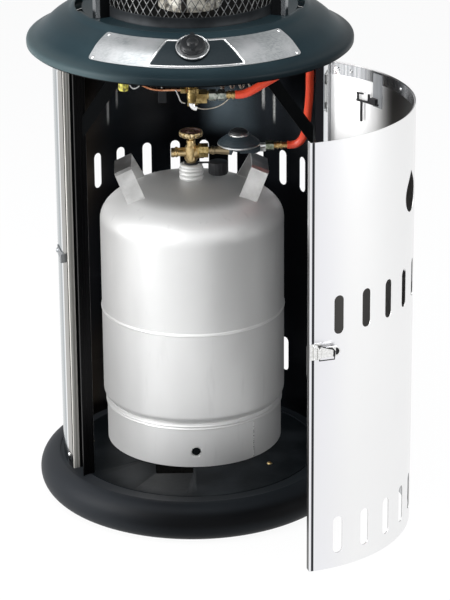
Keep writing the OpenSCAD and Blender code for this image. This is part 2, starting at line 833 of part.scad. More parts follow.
module tilt_switch() {
    color("#2a2d2f") {
        translate([-53, -150, block_z]) cube([13, 16, 24]);
        translate([-50, -146, block_z + 24]) cube([7, 2, ring_z - block_z - 24]);
    }
}

// Burner, guard, posts and hood

module burner_deck() {
    color("#4b4f51") difference() {
        translate([0, 0, deck_z - 3]) cylinder(h = 3, r = neck_in - 0.5);
        translate([0, 0, deck_z - 10]) cylinder(h = 20, r = 12);
    }
}

module burner_can() {
    color("#c7c9ca") translate([0, 0, deck_z]) difference() {
        cylinder(h = burner_h, r = burner_r);
        translate([0, 0, -eps]) cylinder(h = burner_h - 2 + eps, r = burner_r - 1.5);
    }
}

module ring_wall(r, t, z0, z1) {
    translate([0, 0, z0]) difference() {
        cylinder(h = z1 - z0, r = r);
        translate([0, 0, -eps]) cylinder(h = z1 - z0 + 2 * eps, r = r - t);
    }
}

module guard_band() {
    color("#8a8f91") ring_wall(guard_r, mesh_t, deck_z, deck_z + guard_band_h);
}

// Expanded mesh, drawn coarser than the real one: staggered rows of diamond holes
module guard_mesh() {
    cols = 24;
    rows = 5;
    pitch = (guard_h - 2 * guard_band_h) / rows;
    w = 2 * PI * guard_r / cols;
    color("#1c1f21") difference() {
        ring_wall(guard_r, mesh_t, deck_z + guard_band_h, deck_z + guard_h - guard_band_h);
        for (i = [0 : cols - 1]) for (j = [0 : 2 * rows - 2]) {
            through_wall((i + (j % 2) / 2) * 360 / cols, guard_r, deck_z + guard_band_h + (j + 1) * pitch / 2)
                polygon([[-w / 2 + 2.5, 0], [0, pitch / 2 - 2.5], [w / 2 - 2.5, 0], [0, -pitch / 2 + 2.5]]);
        }
    }
}

module guard_top() {
    color("#8a8f91") ring_wall(guard_r, mesh_t, deck_z + guard_h - guard_band_h, deck_z + guard_h);
}

module at_posts() {
    for (a = [-post_a, post_a, 180]) rotate([0, 0, a]) children();
}

module posts() {
    color("#c9cccd") at_posts() translate([-post_w / 2, -post_place - 4, deck_z])
        cube([post_w, 8, brim_z - 2 - deck_z]);
}

module post_liners() {
    color("#141617") at_posts() translate([-post_w / 2 - 1, -post_place + 4 + seat, deck_z])
        cube([post_w + 2, post_place - guard_r - 6, brim_z - 2 - deck_z]);
}

module reflector() {
    color("#b9bcbd") translate([0, 0, brim_z - 2]) cylinder(h = 2, r = hood_r - 0.5);
}

// Hood outline from the brim's edge up to the middle, as radius and height
function hood_points(h) = [[hood_r, 0], [hood_r, 8], [hood_r - 6, 16], [hood_r - 22, 26],
    [hood_r - 50, 44], [hood_r - 84, 60], [hood_r - 130, h - 15], [90, h - 5], [40, h - 1], [0, h]];

module hood() {
    outline = hood_points(hood_h);
    inner = concat([[-far, -far], [hood_r, -far]], outline, [[-far, hood_h]]);
    color("#33403f") translate([0, 0, brim_z]) rotate_extrude() difference() {
        polygon(concat([[0, 0]], outline));
        intersection() {
            translate([-hood_t, -hood_t - 0.5]) polygon(inner);
            translate([0, -far]) square([far, 2 * far]);
        }
    }
}

module hood_nut() {
    color("#c9cccd") translate([0, 0, brim_z + hood_h]) {
        cylinder(h = 2, r = 12);
        translate([0, 0, 2]) cylinder(h = 8, r = 8, $fn = 6);
        translate([0, 0, 10]) cylinder(h = 4, r1 = 6, r2 = 3);
    }
}

// Gas cylinder

function oval(a, b, zc, t0, t1) = [for (i = [0 : 16])
    let (t = t0 + (t1 - t0) * i / 16) [a * cos(t), zc + b * sin(t)]];

// Outline of the cylinder's body, grown outwards by g
module cylinder_outline(g) {
    polygon(concat(oval(cyl_r + g, heel_h + g, heel_z, -90, 0),
        oval(cyl_r + g, shoulder_h + g, shoulder_z, 0, 90)));
}

module at_cylinder() {
    translate([0, cyl_y, 0]) children();
}

module cylinder_body() {
    mid_z = (heel_z + shoulder_z) / 2 - 4;
    color("#b4b6b6") at_cylinder() rotate_extrude() difference() {
        union() {
            cylinder_outline(0);
            translate([cyl_r - 1.6, mid_z]) circle(3);
        }
        cylinder_outline(-cyl_wall);
        translate([-eps, shoulder_z]) square([valve_r - 2 + eps, far]);
        translate([-far, 0]) square([far, 2 * far]);
    }
}

module cylinder_foot() {
    color("#a7a9a9") at_cylinder() difference() {
        union() {
            ring_wall(foot_r, foot_t, floor_z, heel_z);
            for (z = [heel_z - 18, heel_z - 23]) translate([0, 0, z]) rotate_extrude()
                translate([foot_r - 0.5, 0]) circle(2.2);
        }
        rotate_extrude() intersection() {
            cylinder_outline(seat);
            square([far, 2 * far]);
        }
        for (a = [0, 120, 240]) at_angle(a, 0, foot_hole_z) rotate([90, 0, 0]) cylinder(h = far, r = 7.5);
    }
}

// A strap handle: two legs and a flat top, leaning out over the shoulder
module strap_outline() {
    polygon([[-62, -24], [-56, -2], [-56, 4], [-38, strap_h - 4], [-33, strap_h], [33, strap_h],
        [38, strap_h - 4], [56, 4], [56, -2], [62, -24], [58, -24], [56 - strap_t, -2], [56 - strap_t, 3],
        [34, strap_h - strap_t - 1], [32, strap_h - strap_t], [-32, strap_h - strap_t],
        [-34, strap_h - strap_t - 1], [-56 + strap_t, 3], [-56 + strap_t, -2], [-58, -24]]);
}

module cylinder_handles() {
    color("#c3c5c5") difference() {
        for (s = [0, 1]) mirror([s, 0, 0]) translate([-handle_x, cyl_y, shoulder_z + 44])
            rotate([0, -strap_lean, 0]) rotate([90, 0, 90])
                linear_extrude(height = strap_w, center = true) strap_outline();
        at_cylinder() rotate_extrude() intersection() {
            cylinder_outline(seat);
            square([far, 2 * far]);
        }
    }
}

module neck_ring() {
    color("#d7d9d9") at_cylinder() difference() {
        union() {
            translate([0, 0, dome_z - 3]) cylinder(h = neck_h + 2, r = neck_r - 1.5);
            for (k = [0, 1, 2]) translate([0, 0, dome_z + 3 + k * 7]) rotate_extrude()
                translate([neck_r - 3.5, 0]) circle(3.5);
        }
        rotate_extrude() intersection() {
            cylinder_outline(seat);
            square([far, 2 * far]);
        }
        cylinder(h = 2 * far, r = valve_r - 2);
    }
}

module cylinder_valve() {
    color("#b8964e") at_cylinder() union() {
        translate([0, 0, neck_z]) cylinder(h = 6, r = 8);
        translate([0, 0, neck_z + 6]) cylinder(h = wheel_z - neck_z - 12, r = valve_r);
        translate([0, 0, wheel_z - 6]) cylinder(h = 4, r = 7);
        translate([0, 0, wheel_z - 2]) cylinder(h = 10, r = wheel_stem_r);
        translate([0, 0, valve_z]) rotate([0, 90, 0]) cylinder(h = outlet_l, r = outlet_r);
        translate([0, 0, valve_z - 4]) rotate([0, -90, 0]) cylinder(h = relief_l, r = 5.5);
        translate([-relief_l + 6, 0, valve_z - 4]) rotate([0, -90, 0]) cylinder(h = 8, r = 7);
    }
}

// Black cap of the valve's outlet, hanging by its strap from a ring round the valve's foot
module valve_cap() {
    color("#17191b") at_cylinder() translate([0, 0, neck_z + seat]) union() {
        difference() {
            cylinder(h = 3, r = 12);
            translate([0, 0, -eps]) cylinder(h = 3 + 2 * eps, r = 8 + fit);
        }
        translate([10, -4, 0]) cube([cap_x - cap_r - 9, 8, 2]);
        translate([cap_x, 0, 3 - cap_h]) difference() {
            cylinder(h = cap_h, r = cap_r);
            translate([0, 0, -eps]) cylinder(h = cap_h - 3 + eps, r = cap_r - 2.5);
        }
    }
}

module handwheel() {
    color("#b8964e") at_cylinder() translate([0, 0, wheel_z]) difference() {
        union() {
            cylinder(h = 9, r = wheel_r - 1);
            for (i = [0 : 15]) rotate([0, 0, i * 22.5]) translate([wheel_r - 2, 0, gap])
                cylinder(h = 9 - 2 * gap, r = 2);
        }
        translate([0, 0, 3]) ring_wall(wheel_r - 5, wheel_r - 13, 0, 10);
        translate([0, 0, -eps]) cylinder(h = 8 + gap + eps, r = wheel_stem_r + fit);
    }
}

// Regulator, its union nut and the hose

module regulator() {
    color("#2f3436") at_cylinder() union() {
        translate([reg_x, 0, reg_z]) rotate_extrude() polygon([[0, -17], [11, -17], [13, -9],
            [reg_r - 5, -7], [reg_r, -4], [reg_r, -1], [reg_r - 2, 1], [20, 9], [15, 11.5], [0, 11.5]]);
        translate([outlet_l + gap, 0, valve_z]) rotate([0, 90, 0])
            cylinder(h = reg_x - outlet_l - gap, r = stem_r);
        translate([reg_x, 0, tail_z]) rotate([0, 90, 0]) cylinder(h = tail_x - reg_x, r = 4.5);
    }
}

module regulator_cap() {
    color("#d5d7d8") at_cylinder() translate([reg_x, 0, reg_z + 11.5]) {
        cylinder(h = 3, r1 = 15, r2 = 13);
        translate([0, 0, 3]) cylinder(h = 5, r = 12);
    }
}

module union_nut() {
    color("#b08f45") at_cylinder() translate([0, 0, valve_z]) rotate([0, 90, 0]) difference() {
        translate([0, 0, nut_near]) cylinder(h = nut_far - nut_near, r = 12.5, $fn = 8);
        cylinder(h = outlet_l + 2 * gap, r = outlet_r + fit);
        cylinder(h = far, r = stem_r + fit);
    }
}

module hose_tail() {
    color("#9c8f55") at_cylinder() translate([tail_x, 0, tail_z]) rotate([0, 90, 0]) {
        cylinder(h = 13, r = 8.5, $fn = 6);
        translate([0, 0, 13]) cylinder(h = tail_l - 13, r = 5);
        for (k = [18, 24]) translate([0, 0, k]) cylinder(h = 3, r = 6.5);
    }
}

// The hose: one tube swept along the smooth curve through its route's points
function route_at(p, i, t) =
    let (a = p[max(i - 1, 0)], b = p[i], c = p[i + 1], d = p[min(i + 2, len(p) - 1)])
    0.5 * (2 * b + (c - a) * t + (2 * a - 5 * b + 4 * c - d) * t * t + (3 * b - a - 3 * c + d) * t * t * t);

function along(p, n) = concat([for (i = [0 : len(p) - 2]) for (k = [0 : n - 1]) route_at(p, i, k / n)],
    [p[len(p) - 1]]);

module gas_hose() {
    color("#c8452c") sweep_tube(along(hose_path, hose_steps), hose_r, hose_sides);
}

base_cover();
floor_plate();
ballast();
bottom_plate();
floor_screws();
housing_shell();
left_channel();
right_stiffener();
left_brace();
right_brace();
shell_screws();
latch_keeper();
hinge_fixed_leaves();
hinge_pins();
door_skin();
door_top_hem();
door_bottom_hem();
door_free_flange();
door_hinge_flange();
door_bracket();
door_clip();
union() {
    door_rivets();
    latch_pin();
}
hinge_door_leaves();
latch_base();
latch_lever();
latch_bail();
top_ring();
collar();
control_plate();
plate_screws();
knob_bezel();
knob_spindle();
control_knob();
gas_valve();
valve_fittings();
pilot_tube();
igniter_plug();
tilt_switch();
burner_deck();
burner_can();
guard_band();
guard_mesh();
guard_top();
posts();
post_liners();
reflector();
hood();
hood_nut();
cylinder_body();
cylinder_foot();
cylinder_handles();
neck_ring();
cylinder_valve();
valve_cap();
handwheel();
regulator();
regulator_cap();
union_nut();
hose_tail();
gas_hose();
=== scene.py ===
import math

import bmesh
import bpy
from mathutils import Matrix, Vector


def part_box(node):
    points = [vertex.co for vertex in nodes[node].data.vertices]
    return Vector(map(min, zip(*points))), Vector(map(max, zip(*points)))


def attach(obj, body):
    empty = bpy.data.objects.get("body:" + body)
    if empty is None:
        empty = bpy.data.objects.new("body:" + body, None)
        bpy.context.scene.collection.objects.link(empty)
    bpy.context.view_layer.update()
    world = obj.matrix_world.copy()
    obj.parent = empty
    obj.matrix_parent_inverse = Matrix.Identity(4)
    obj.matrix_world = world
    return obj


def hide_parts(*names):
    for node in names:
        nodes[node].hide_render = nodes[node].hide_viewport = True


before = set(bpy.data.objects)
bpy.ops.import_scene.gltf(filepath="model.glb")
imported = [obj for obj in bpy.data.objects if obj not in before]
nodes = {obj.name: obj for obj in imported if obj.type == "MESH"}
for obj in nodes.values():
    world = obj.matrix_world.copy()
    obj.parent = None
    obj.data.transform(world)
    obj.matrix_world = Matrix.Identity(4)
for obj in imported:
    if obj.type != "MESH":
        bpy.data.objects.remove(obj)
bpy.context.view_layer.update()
scene = bpy.context.scene
scene.view_settings.view_transform = "Standard"

# Camera: it stands in front of the heater, higher than a person's eyes, and looks down into the
# open housing. Its small turn and roll are those of the photograph.
camera = bpy.data.objects.new("camera", bpy.data.cameras.new("camera"))
scene.collection.objects.link(camera)
camera.data.sensor_width = 36.0
camera.data.lens = 172.25
camera.matrix_world = (
    Matrix.Translation((-0.0668, -4.4, 2.0334))
    @ Matrix.Rotation(math.radians(-1.544), 4, "Z")
    @ Matrix.Rotation(math.radians(68.718), 4, "X")
    @ Matrix.Rotation(math.radians(-0.476), 4, "Z")
)
scene.camera = camera


# Floor and light: a pale studio sweep that mirrors and the camera see as white, a soft world, and
# five large lamps. The two at the sides stand for light that passes the door frame and the door,
# so they cast no shadow.
def studio_surface(tree, plain, bright, output):
    rays = tree.nodes.new("ShaderNodeLightPath")
    seen = tree.nodes.new("ShaderNodeMath")
    seen.operation = "MAXIMUM"
    tree.links.new(rays.outputs["Is Camera Ray"], seen.inputs[0])
    tree.links.new(rays.outputs["Is Glossy Ray"], seen.inputs[1])
    chosen = tree.nodes.new("ShaderNodeMixShader")
    tree.links.new(seen.outputs[0], chosen.inputs[0])
    tree.links.new(plain.outputs[0], chosen.inputs[1])
    tree.links.new(bright.outputs[0], chosen.inputs[2])
    tree.links.new(chosen.outputs[0], output.inputs["Surface"])


floor_mesh = bmesh.new()
bmesh.ops.create_grid(floor_mesh, x_segments=4, y_segments=4, size=14.0)
floor_data = bpy.data.meshes.new("floor")
floor_mesh.to_mesh(floor_data)
floor_mesh.free()
studio_floor = bpy.data.objects.new("floor", floor_data)
scene.collection.objects.link(studio_floor)

paper = bpy.data.materials.new("paper")
paper.use_nodes = True
paper.node_tree.nodes.remove(paper.node_tree.nodes["Principled BSDF"])
paper_matt = paper.node_tree.nodes.new("ShaderNodeBsdfDiffuse")
paper_matt.inputs["Color"].default_value = (0.86, 0.86, 0.86, 1.0)
paper_glow = paper.node_tree.nodes.new("ShaderNodeEmission")
paper_glow.inputs["Strength"].default_value = 1.0
paper_both = paper.node_tree.nodes.new("ShaderNodeMixShader")
paper_both.inputs[0].default_value = 0.9
paper.node_tree.links.new(paper_matt.outputs[0], paper_both.inputs[1])
paper.node_tree.links.new(paper_glow.outputs[0], paper_both.inputs[2])
studio_surface(paper.node_tree, paper_matt, paper_both, paper.node_tree.nodes["Material Output"])
floor_data.materials.append(paper)

world = bpy.data.worlds.new("studio")
scene.world = world
world.use_nodes = True
air = world.node_tree.nodes["Background"]
air.inputs["Color"].default_value = (0.93, 0.96, 1.0, 1.0)
air.inputs["Strength"].default_value = 0.5
backdrop = world.node_tree.nodes.new("ShaderNodeBackground")
backdrop.inputs["Strength"].default_value = 1.0
studio_surface(world.node_tree, air, backdrop, world.node_tree.nodes["World Output"])
LAMP_AIM = Vector((0.0, 0.0, 0.5))


def lamp(name, place, size, power):
    light = bpy.data.lights.new(name, "AREA")
    light.shape, light.size, light.size_y = "RECTANGLE", *size
    light.energy = power
    holder = bpy.data.objects.new(name, light)
    scene.collection.objects.link(holder)
    holder.location = place
    holder.rotation_euler = (LAMP_AIM - Vector(place)).to_track_quat("-Z", "Y").to_euler()
    return light


lamp("key", (-2.6, -2.8, 2.3), (1.4, 2.2), 18.0)
lamp("side", (-2.0, -0.7, 1.1), (1.3, 1.5), 66.0).use_shadow = False
lamp("fill", (2.7, -2.4, 2.1), (1.4, 2.0), 54.0)
lamp("right", (2.3, -1.1, 1.1), (1.2, 1.4), 13.0).use_shadow = False
lamp("top", (-0.6, -0.6, 3.4), (2.0, 2.0), 50.0)


# Hose: red rubber gas hose, 13 mm thick, from the regulator up beside the housing's wall and
# forward to the gas valve under the collar. It runs through the points of part.scad, in metres.
class Wire:
    """One output of a node, with the arithmetic that patterns need."""

    def __init__(self, finish, socket):
        self.finish, self.socket = finish, socket

    def _math(self, operation, *values):
        return self.finish.node("Math", {"operation": operation}, dict(enumerate(values)))

    def __add__(self, other):
        return self._math("ADD", self, other)

    def __sub__(self, other):
        return self._math("SUBTRACT", self, other)

    def __rsub__(self, other):
        return self._math("SUBTRACT", other, self)

    def __mul__(self, other):
        return self._math("MULTIPLY", self, other)

    def __pow__(self, other):
        return self._math("POWER", self, other)

    __radd__, __rmul__ = __add__, __mul__

    def ramp(self, low, high):
        """0 where this is below low, 1 above high, and smooth between."""
        settings = {"interpolation_type": "SMOOTHSTEP"}
        return self.finish.node("MapRange", settings, {"Value": self, "From Min": low, "From Max": high})

    def band(self, low, start, end, high):
        """1 where this lies between start and end, 0 outside low and high, and smooth between."""
        return self.ramp(low, start) * (1.0 - self.ramp(end, high))


class Finish:
    """A material as a small tree of nodes, which it makes and joins."""

    def __init__(self, name, metallic=0.0, **constants):
        self.material = bpy.data.materials.new(name)
        self.material.use_nodes = True
        self.tree = self.material.node_tree
        self.shader = self.tree.nodes["Principled BSDF"]
        self.set("Metallic", metallic)
        for socket, value in constants.items():
            self.set(socket.replace("_", " "), value)

    def set(self, socket, value):
        self.join(self.shader.inputs[socket], value)

    def join(self, socket, value):
        if isinstance(value, Wire):
            self.tree.links.new(value.socket, socket)
        else:
            socket.default_value = value

    def node(self, kind, settings, sockets, out=0):
        made = self.tree.nodes.new("ShaderNode" + kind)
        for name, value in settings.items():
            setattr(made, name, value)
        for place, value in sockets.items():
            self.join(made.inputs[place], value)
        return Wire(self, made.outputs[out])

    def place(self, scale=(1.0, 1.0, 1.0)):
        """Object coordinates in metres, stretched by scale."""
        spot = self.node("TexCoord", {}, {}, "Object")
        return self.node("Mapping", {}, {"Vector": spot, "Scale": scale})

    def axis(self, letter):
        return self.node("SeparateXYZ", {}, {0: self.place()}, letter)

    def reach(self, x=0.0, y=0.0):
        """Distance in metres from the upright axis through (x, y)."""
        return ((self.axis("X") - x) ** 2.0 + (self.axis("Y") - y) ** 2.0) ** 0.5

    def noise(self, scale, detail=2.0, stretch=(1.0, 1.0, 1.0), rough=0.5):
        sockets = {"Vector": self.place(stretch), "Scale": scale, "Detail": detail, "Roughness": rough}
        return self.node("TexNoise", {}, sockets, "Fac")

    def mix(self, share, first, second):
        """Colour between first and second."""
        ends = [(*end, 1.0) if isinstance(end, tuple) else end for end in (first, second)]
        return self.node("Mix", {"data_type": "RGBA"}, {0: share, 6: ends[0], 7: ends[1]}, 2)

    def bump(self, height, distance, strength=1.0):
        sockets = {"Height": height, "Distance": distance, "Strength": strength}
        self.set("Normal", self.node("Bump", {}, sockets, "Normal"))

    def vary(self, pattern, dark, light, rough, spread, between=None, grain=None):
        """Colour that follows a pattern, and roughness that follows it or a grain of its own."""
        share = pattern.ramp(*between) if between else pattern
        self.set("Base Color", self.mix(share, dark, light))
        self.set("Roughness", rough + (grain or pattern) * spread)

    def put(self, *names):
        """Gives this finish to CAD nodes that keep their own mesh."""
        for name in names:
            nodes[name].data.materials.clear()
            nodes[name].data.materials.append(self.material)


def shown(piece, body, finish, *replaced, slot=None):
    """Puts a finished piece in the scene with its body, its finish and the nodes it stands for."""
    if piece.name not in scene.collection.objects:
        scene.collection.objects.link(piece)
    piece.data.materials.clear()
    piece.data.materials.append(finish.material)
    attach(piece, body)
    if replaced:
        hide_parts(*replaced)
    return piece


def wire_curve(name, points, radius, sides=6):
    """A round rod, tube or hose along a smooth line through the points."""
    line = bpy.data.curves.new(name, "CURVE")
    line.dimensions, line.bevel_depth, line.bevel_resolution = "3D", radius, sides
    line.use_fill_caps, line.resolution_u = True, 6
    spline = line.splines.new("BEZIER")
    spline.bezier_points.add(len(points) - 1)
    for point, place in zip(spline.bezier_points, points):
        point.co, point.handle_left_type, point.handle_right_type = place, "AUTO", "AUTO"
    return bpy.data.objects.new(name, line)


HOSE_ROUTE = [
    (0.1571, 0.056, 0.567), (0.166, 0.056, 0.5672), (0.175, 0.054, 0.571), (0.182, 0.050, 0.581),
    (0.186, 0.044, 0.596), (0.188, 0.036, 0.614), (0.189, 0.026, 0.634), (0.190, 0.012, 0.656),
    (0.190, -0.004, 0.679), (0.189, -0.022, 0.701), (0.188, -0.042, 0.7215), (0.185, -0.064, 0.738),
    (0.180, -0.086, 0.750), (0.172, -0.107, 0.7555), (0.161, -0.125, 0.756), (0.147, -0.140, 0.753),
    (0.131, -0.150, 0.747), (0.114, -0.156, 0.739), (0.098, -0.159, 0.7305), (0.084, -0.160, 0.7235),
    (0.074, -0.160, 0.721), (0.0661, -0.160, 0.721),
]
HOSE_LENGTH, HOSE_THICKNESS = 0.412, 0.013
red_rubber = Finish("red_rubber")
skin = red_rubber.noise(420.0, 3.0)
red_rubber.vary(skin, (0.55, 0.04, 0.018), (0.70, 0.075, 0.03), 0.28, 0.16)
red_rubber.bump(skin, 0.0002, 0.5)
hose = shown(wire_curve("gas_hose_rubber", HOSE_ROUTE, HOSE_THICKNESS / 2), "housing", red_rubber,
             "gas_hose", slot="hose_rubber")


# Base cover: one round shell of pressed sheet with a thick rolled rim, powder coated in a fine
# satin black, with a flat floor plate set in its top. Its rim is painted lighter on the left, a
# painted highlight, and darker in a band low on its front and right, a painted reflection. It
# stands over a cast ballast block, coloured near black as painted shade, and a bottom plate, and
# a vent is cut through it and the floor plate.
MM = 0.001


def piece_from(shape, name, edge=0.0, sharp=35.0):
    """Turns a bmesh in millimetres into an object, with softened edges where edge is given."""
    bmesh.ops.scale(shape, vec=(MM, MM, MM), verts=shape.verts)
    data = bpy.data.meshes.new(name)
    shape.to_mesh(data)
    shape.free()
    data.polygons.foreach_set("use_smooth", [True] * len(data.polygons))
    data.set_sharp_from_angle(angle=math.radians(sharp))
    piece = bpy.data.objects.new(name, data)
    if edge:
        soften(piece, edge, sharp)
    return piece


def soften(piece, edge, sharp=35.0, steps=2):
    """Rounds the edges at which faces turn by more than the sharp angle."""
    rounding = piece.modifiers.new("rounding", "BEVEL")
    rounding.width, rounding.segments = edge * MM, steps
    rounding.limit_method, rounding.angle_limit = "ANGLE", math.radians(sharp)
    rounding.harden_normals = True


def turned(outline, steps=128, centre=(0.0, 0.0), shape=None):
    """Spins an outline of (radius, height) round the upright axis through centre."""
    shape = shape or bmesh.new()
    rim = [shape.verts.new((centre[0] + r, centre[1], z)) for r, z in outline]
    ends = [] if outline[0][0] == 0 == outline[-1][0] else [(rim[-1], rim[0])]
    edges = [shape.edges.new(pair) for pair in [*zip(rim, rim[1:]), *ends]]
    bmesh.ops.spin(shape, geom=rim + edges, cent=(*centre, 0.0), axis=(0.0, 0.0, 1.0),
                   angle=math.tau, steps=steps, use_merge=True)
    bmesh.ops.remove_doubles(shape, verts=shape.verts, dist=0.001)
    bmesh.ops.recalc_face_normals(shape, faces=shape.faces)
    return shape


def rounded(r, z, radius, first, last, count):
    """Points of a round corner about (r, z)."""
    turns = [math.radians(first + (last - first) * k / count) for k in range(count + 1)]
    return [(r + radius * math.cos(t), z + radius * math.sin(t)) for t in turns]


def carved(piece, *cutters):
    """Cuts the cutters' shapes out of the piece for good."""
    scene.collection.objects.link(piece)
    for cutter in cutters:
        scene.collection.objects.link(cutter)
        cut = piece.modifiers.new("cut", "BOOLEAN")
        cut.object, cut.solver = cutter, "EXACT"
        bpy.context.view_layer.update()
        solid = piece.evaluated_get(bpy.context.evaluated_depsgraph_get())
        piece.data = bpy.data.meshes.new_from_object(solid)
        piece.modifiers.clear()
        bpy.data.objects.remove(cutter)
    return piece


def block(size, place, corner=0.0):
    """A box whose upright edges have a corner radius."""
    shape = bmesh.new()
    bmesh.ops.create_cube(shape, size=1.0)
    bmesh.ops.scale(shape, vec=size, verts=shape.verts)
    upright = [e for e in shape.edges if abs(e.verts[0].co.z - e.verts[1].co.z) > size[2] / 2]
    if corner:
        bmesh.ops.bevel(shape, geom=upright, offset=corner, offset_type="OFFSET", segments=5,
                        profile=0.5, affect="EDGES", material=-1)
    bmesh.ops.translate(shape, vec=place, verts=shape.verts)
    return shape


VENT_SIZE, VENT_PLACE, VENT_CORNER = (62.0, 70.0, 30.0), (-36.0, -77.0, 60.0), 3.0


def vent_cutter():
    """A block that cuts the vent, made anew for each sheet it goes through."""
    return piece_from(block(VENT_SIZE, VENT_PLACE, VENT_CORNER), "vent_cutter")


satin_black = Finish("satin_black", Specular_IOR_Level=0.07)
grain, cloud = satin_black.noise(900.0, 2.0), satin_black.noise(5.0, 3.0)
# Painted light on the rim: its left side is painted lighter, a painted highlight, and a band low on its front
# and right is painted darker, a painted dark reflection.
painted_highlight_left = 1.0 - satin_black.axis("X").ramp(-0.20, -0.02)
painted_dark_reflection_band = satin_black.axis("Z").band(0.020, 0.034, 0.046, 0.056) * (1.0 - painted_highlight_left)
cover_tone_and_painted_light = satin_black.mix(cloud.ramp(0.3, 0.7), (0.0035, 0.0045, 0.006), (0.008, 0.010, 0.012))
cover_tone_and_painted_light = satin_black.mix(painted_highlight_left, cover_tone_and_painted_light, (0.017, 0.019, 0.022))
satin_black.set("Base Color", satin_black.mix(painted_dark_reflection_band * 0.85, cover_tone_and_painted_light, (0.0008, 0.0010, 0.0014)))
satin_black.set("Roughness", 0.38 + grain * 0.12 + cloud * 0.08)
satin_black.bump(grain, 0.00012, 0.6)
COVER = [
    (0.0, 57.0), (203.0, 57.0), (203.0, 58.4), (203.6, 59.0), (223.5, 59.0), (225.4, 59.6), (226.0, 61.4),
    *rounded(227.0, 30.0, 32.0, 88.0, -64.0, 30), (239.0, 0.0), (232.5, 0.0),
    *rounded(227.0, 30.0, 29.0, -74.0, 60.0, 20), (231.0, 54.0), (0.0, 54.0),
]
shown(carved(piece_from(turned(COVER, 180), "base_shell"), vent_cutter()), "housing", satin_black,
      "base_cover", slot="dark_paint")

floor_matt = Finish("floor_matt", Specular_IOR_Level=0.05)
dust, brush = floor_matt.noise(14.0, 4.0), floor_matt.noise(160.0, 3.0, (1.0, 12.0, 1.0))
floor_matt.vary(dust, (0.003, 0.004, 0.005), (0.010, 0.012, 0.014), 0.36, 0.2, (0.42, 0.75), brush)
floor_matt.bump(brush, 0.00008, 0.5)
FLOOR_TOP = 59.0
FLOOR_DISC = [(0.0, FLOOR_TOP), (200.9, FLOOR_TOP), (201.5, 58.5), (201.5, 57.0), (0.0, 57.0)]
shown(carved(piece_from(turned(FLOOR_DISC), "floor_disc"), vent_cutter()), "housing", floor_matt,
      "floor_plate", slot="floor_black")

# The ballast block is coloured near black: painted shade, so that the vent looks dark.
concrete = Finish("concrete_painted_dark", Roughness=0.9, Specular_IOR_Level=0.05)
stones = concrete.node("TexVoronoi", {}, {"Vector": concrete.place(), "Scale": 190.0}, "Distance")
cement = concrete.noise(60.0, 6.0)
gravel = stones.ramp(0.1, 0.5) * cement
concrete.set("Base Color", concrete.mix(gravel, (0.003, 0.003, 0.003), (0.014, 0.014, 0.013)))
concrete.bump(stones * 0.6 + cement, 0.0012, 0.7)
concrete.put("ballast")

under_steel = Finish("under_steel", 0.9)
scuffs = under_steel.noise(40.0, 5.0, (1.0, 4.0, 1.0))
under_steel.vary(scuffs, (0.12, 0.125, 0.13), (0.24, 0.25, 0.26), 0.3, 0.35, (0.4, 0.7))
UNDERSIDE = [(0.0, 2.0), (228.8, 2.0), (229.4, 1.2), (229.0, 0.2), (90.0, 0.2), (86.0, 1.1), (0.0, 1.1)]
shown(piece_from(turned(UNDERSIDE), "base_underside"), "housing", under_steel, "bottom_plate",
      slot="bottom_steel")


# Screws: pan heads with a cross recess. Those in the floor are yellow plated, those round the
# housing bright, and all are turned by hand to different angles.
def at_angle(angle, radius, height):
    """Place at an angle from the front, with X along the wall, Y inwards and Z up."""
    return Matrix.Rotation(math.radians(angle), 4, "Z") @ Matrix.Translation((0.0, -radius, height))


FACING_OUT = Matrix.Rotation(math.radians(90.0), 4, "X")


def screw_heads(name, places, radius, height):
    """Equal screw heads at their places, joined in one piece."""
    head = piece_from(turned([(0.0, height), (radius * 0.45, height * 0.93), (radius * 0.8, height * 0.64),
                              (radius, height * 0.2), (radius, 0.0), (0.0, 0.0)], 24), "head")
    cross = [piece_from(block((radius * w, radius * d, height * 1.1), (0.0, 0.0, height)), "cross")
             for w, d in ((1.15, 0.26), (0.26, 1.15))]
    carved(head, *cross)
    many = bmesh.new()
    for k, place in enumerate(places):
        first = len(many.verts)
        many.from_mesh(head.data)
        many.verts.ensure_lookup_table()
        spot = place @ Matrix.Rotation(0.7 * k + 0.2, 4, "Z") @ Matrix.Scale(1.0 / MM, 4)
        bmesh.ops.transform(many, matrix=spot, verts=many.verts[first:])
    bpy.data.objects.remove(head)
    return piece_from(many, name, sharp=40.0)


yellow_plate = Finish("yellow_plate", 1.0)
tarnish = yellow_plate.noise(300.0, 4.0)
yellow_plate.vary(tarnish, (0.42, 0.30, 0.12), (0.78, 0.62, 0.34), 0.22, 0.2, (0.3, 0.7))
FLOOR_SCREWS = [at_angle(a, r, FLOOR_TOP) for a, r in
                ((-98.0, 176.0), (56.5, 145.0), (150.0, 176.0), (-150.0, 145.0))]
shown(screw_heads("floor_screw_heads", FLOOR_SCREWS, 4.5, 2.2), "housing",
      yellow_plate, "floor_screws", slot="brass_screw")

bright_zinc = Finish("bright_zinc", 1.0)
spangle = bright_zinc.noise(260.0, 3.0)
bright_zinc.vary(spangle, (0.58, 0.59, 0.60), (0.82, 0.82, 0.82), 0.16, 0.18, (0.3, 0.7))
SHELL_R = 220.0
SHELL_SCREWS = [at_angle(a, SHELL_R + 0.1, z) @ FACING_OUT for z in (77.0, 739.0)
                for a in (-72.0, 78.0, 120.0, 180.0, 240.0)]
shown(screw_heads("shell_screw_heads", SHELL_SCREWS, 4.0, 2.0), "housing", bright_zinc, "shell_screws",
      slot="bright_screw")


# Housing: one sheet of polished stainless steel, slotted while flat and then rolled into an open
# tube. The outside is bright, with light and dark bands near its left edge that are painted
# reflections. The inside mirrors the dark bay, the cylinder and the slots opposite, and these are
# painted on it: near black overall, with soft paler patches as painted reflections.
def turn_point(angle, radius, height):
    """Point at an angle from the front, a radius from the axis and a height."""
    return Vector((radius * math.sin(math.radians(angle)), -radius * math.cos(math.radians(angle)), height))


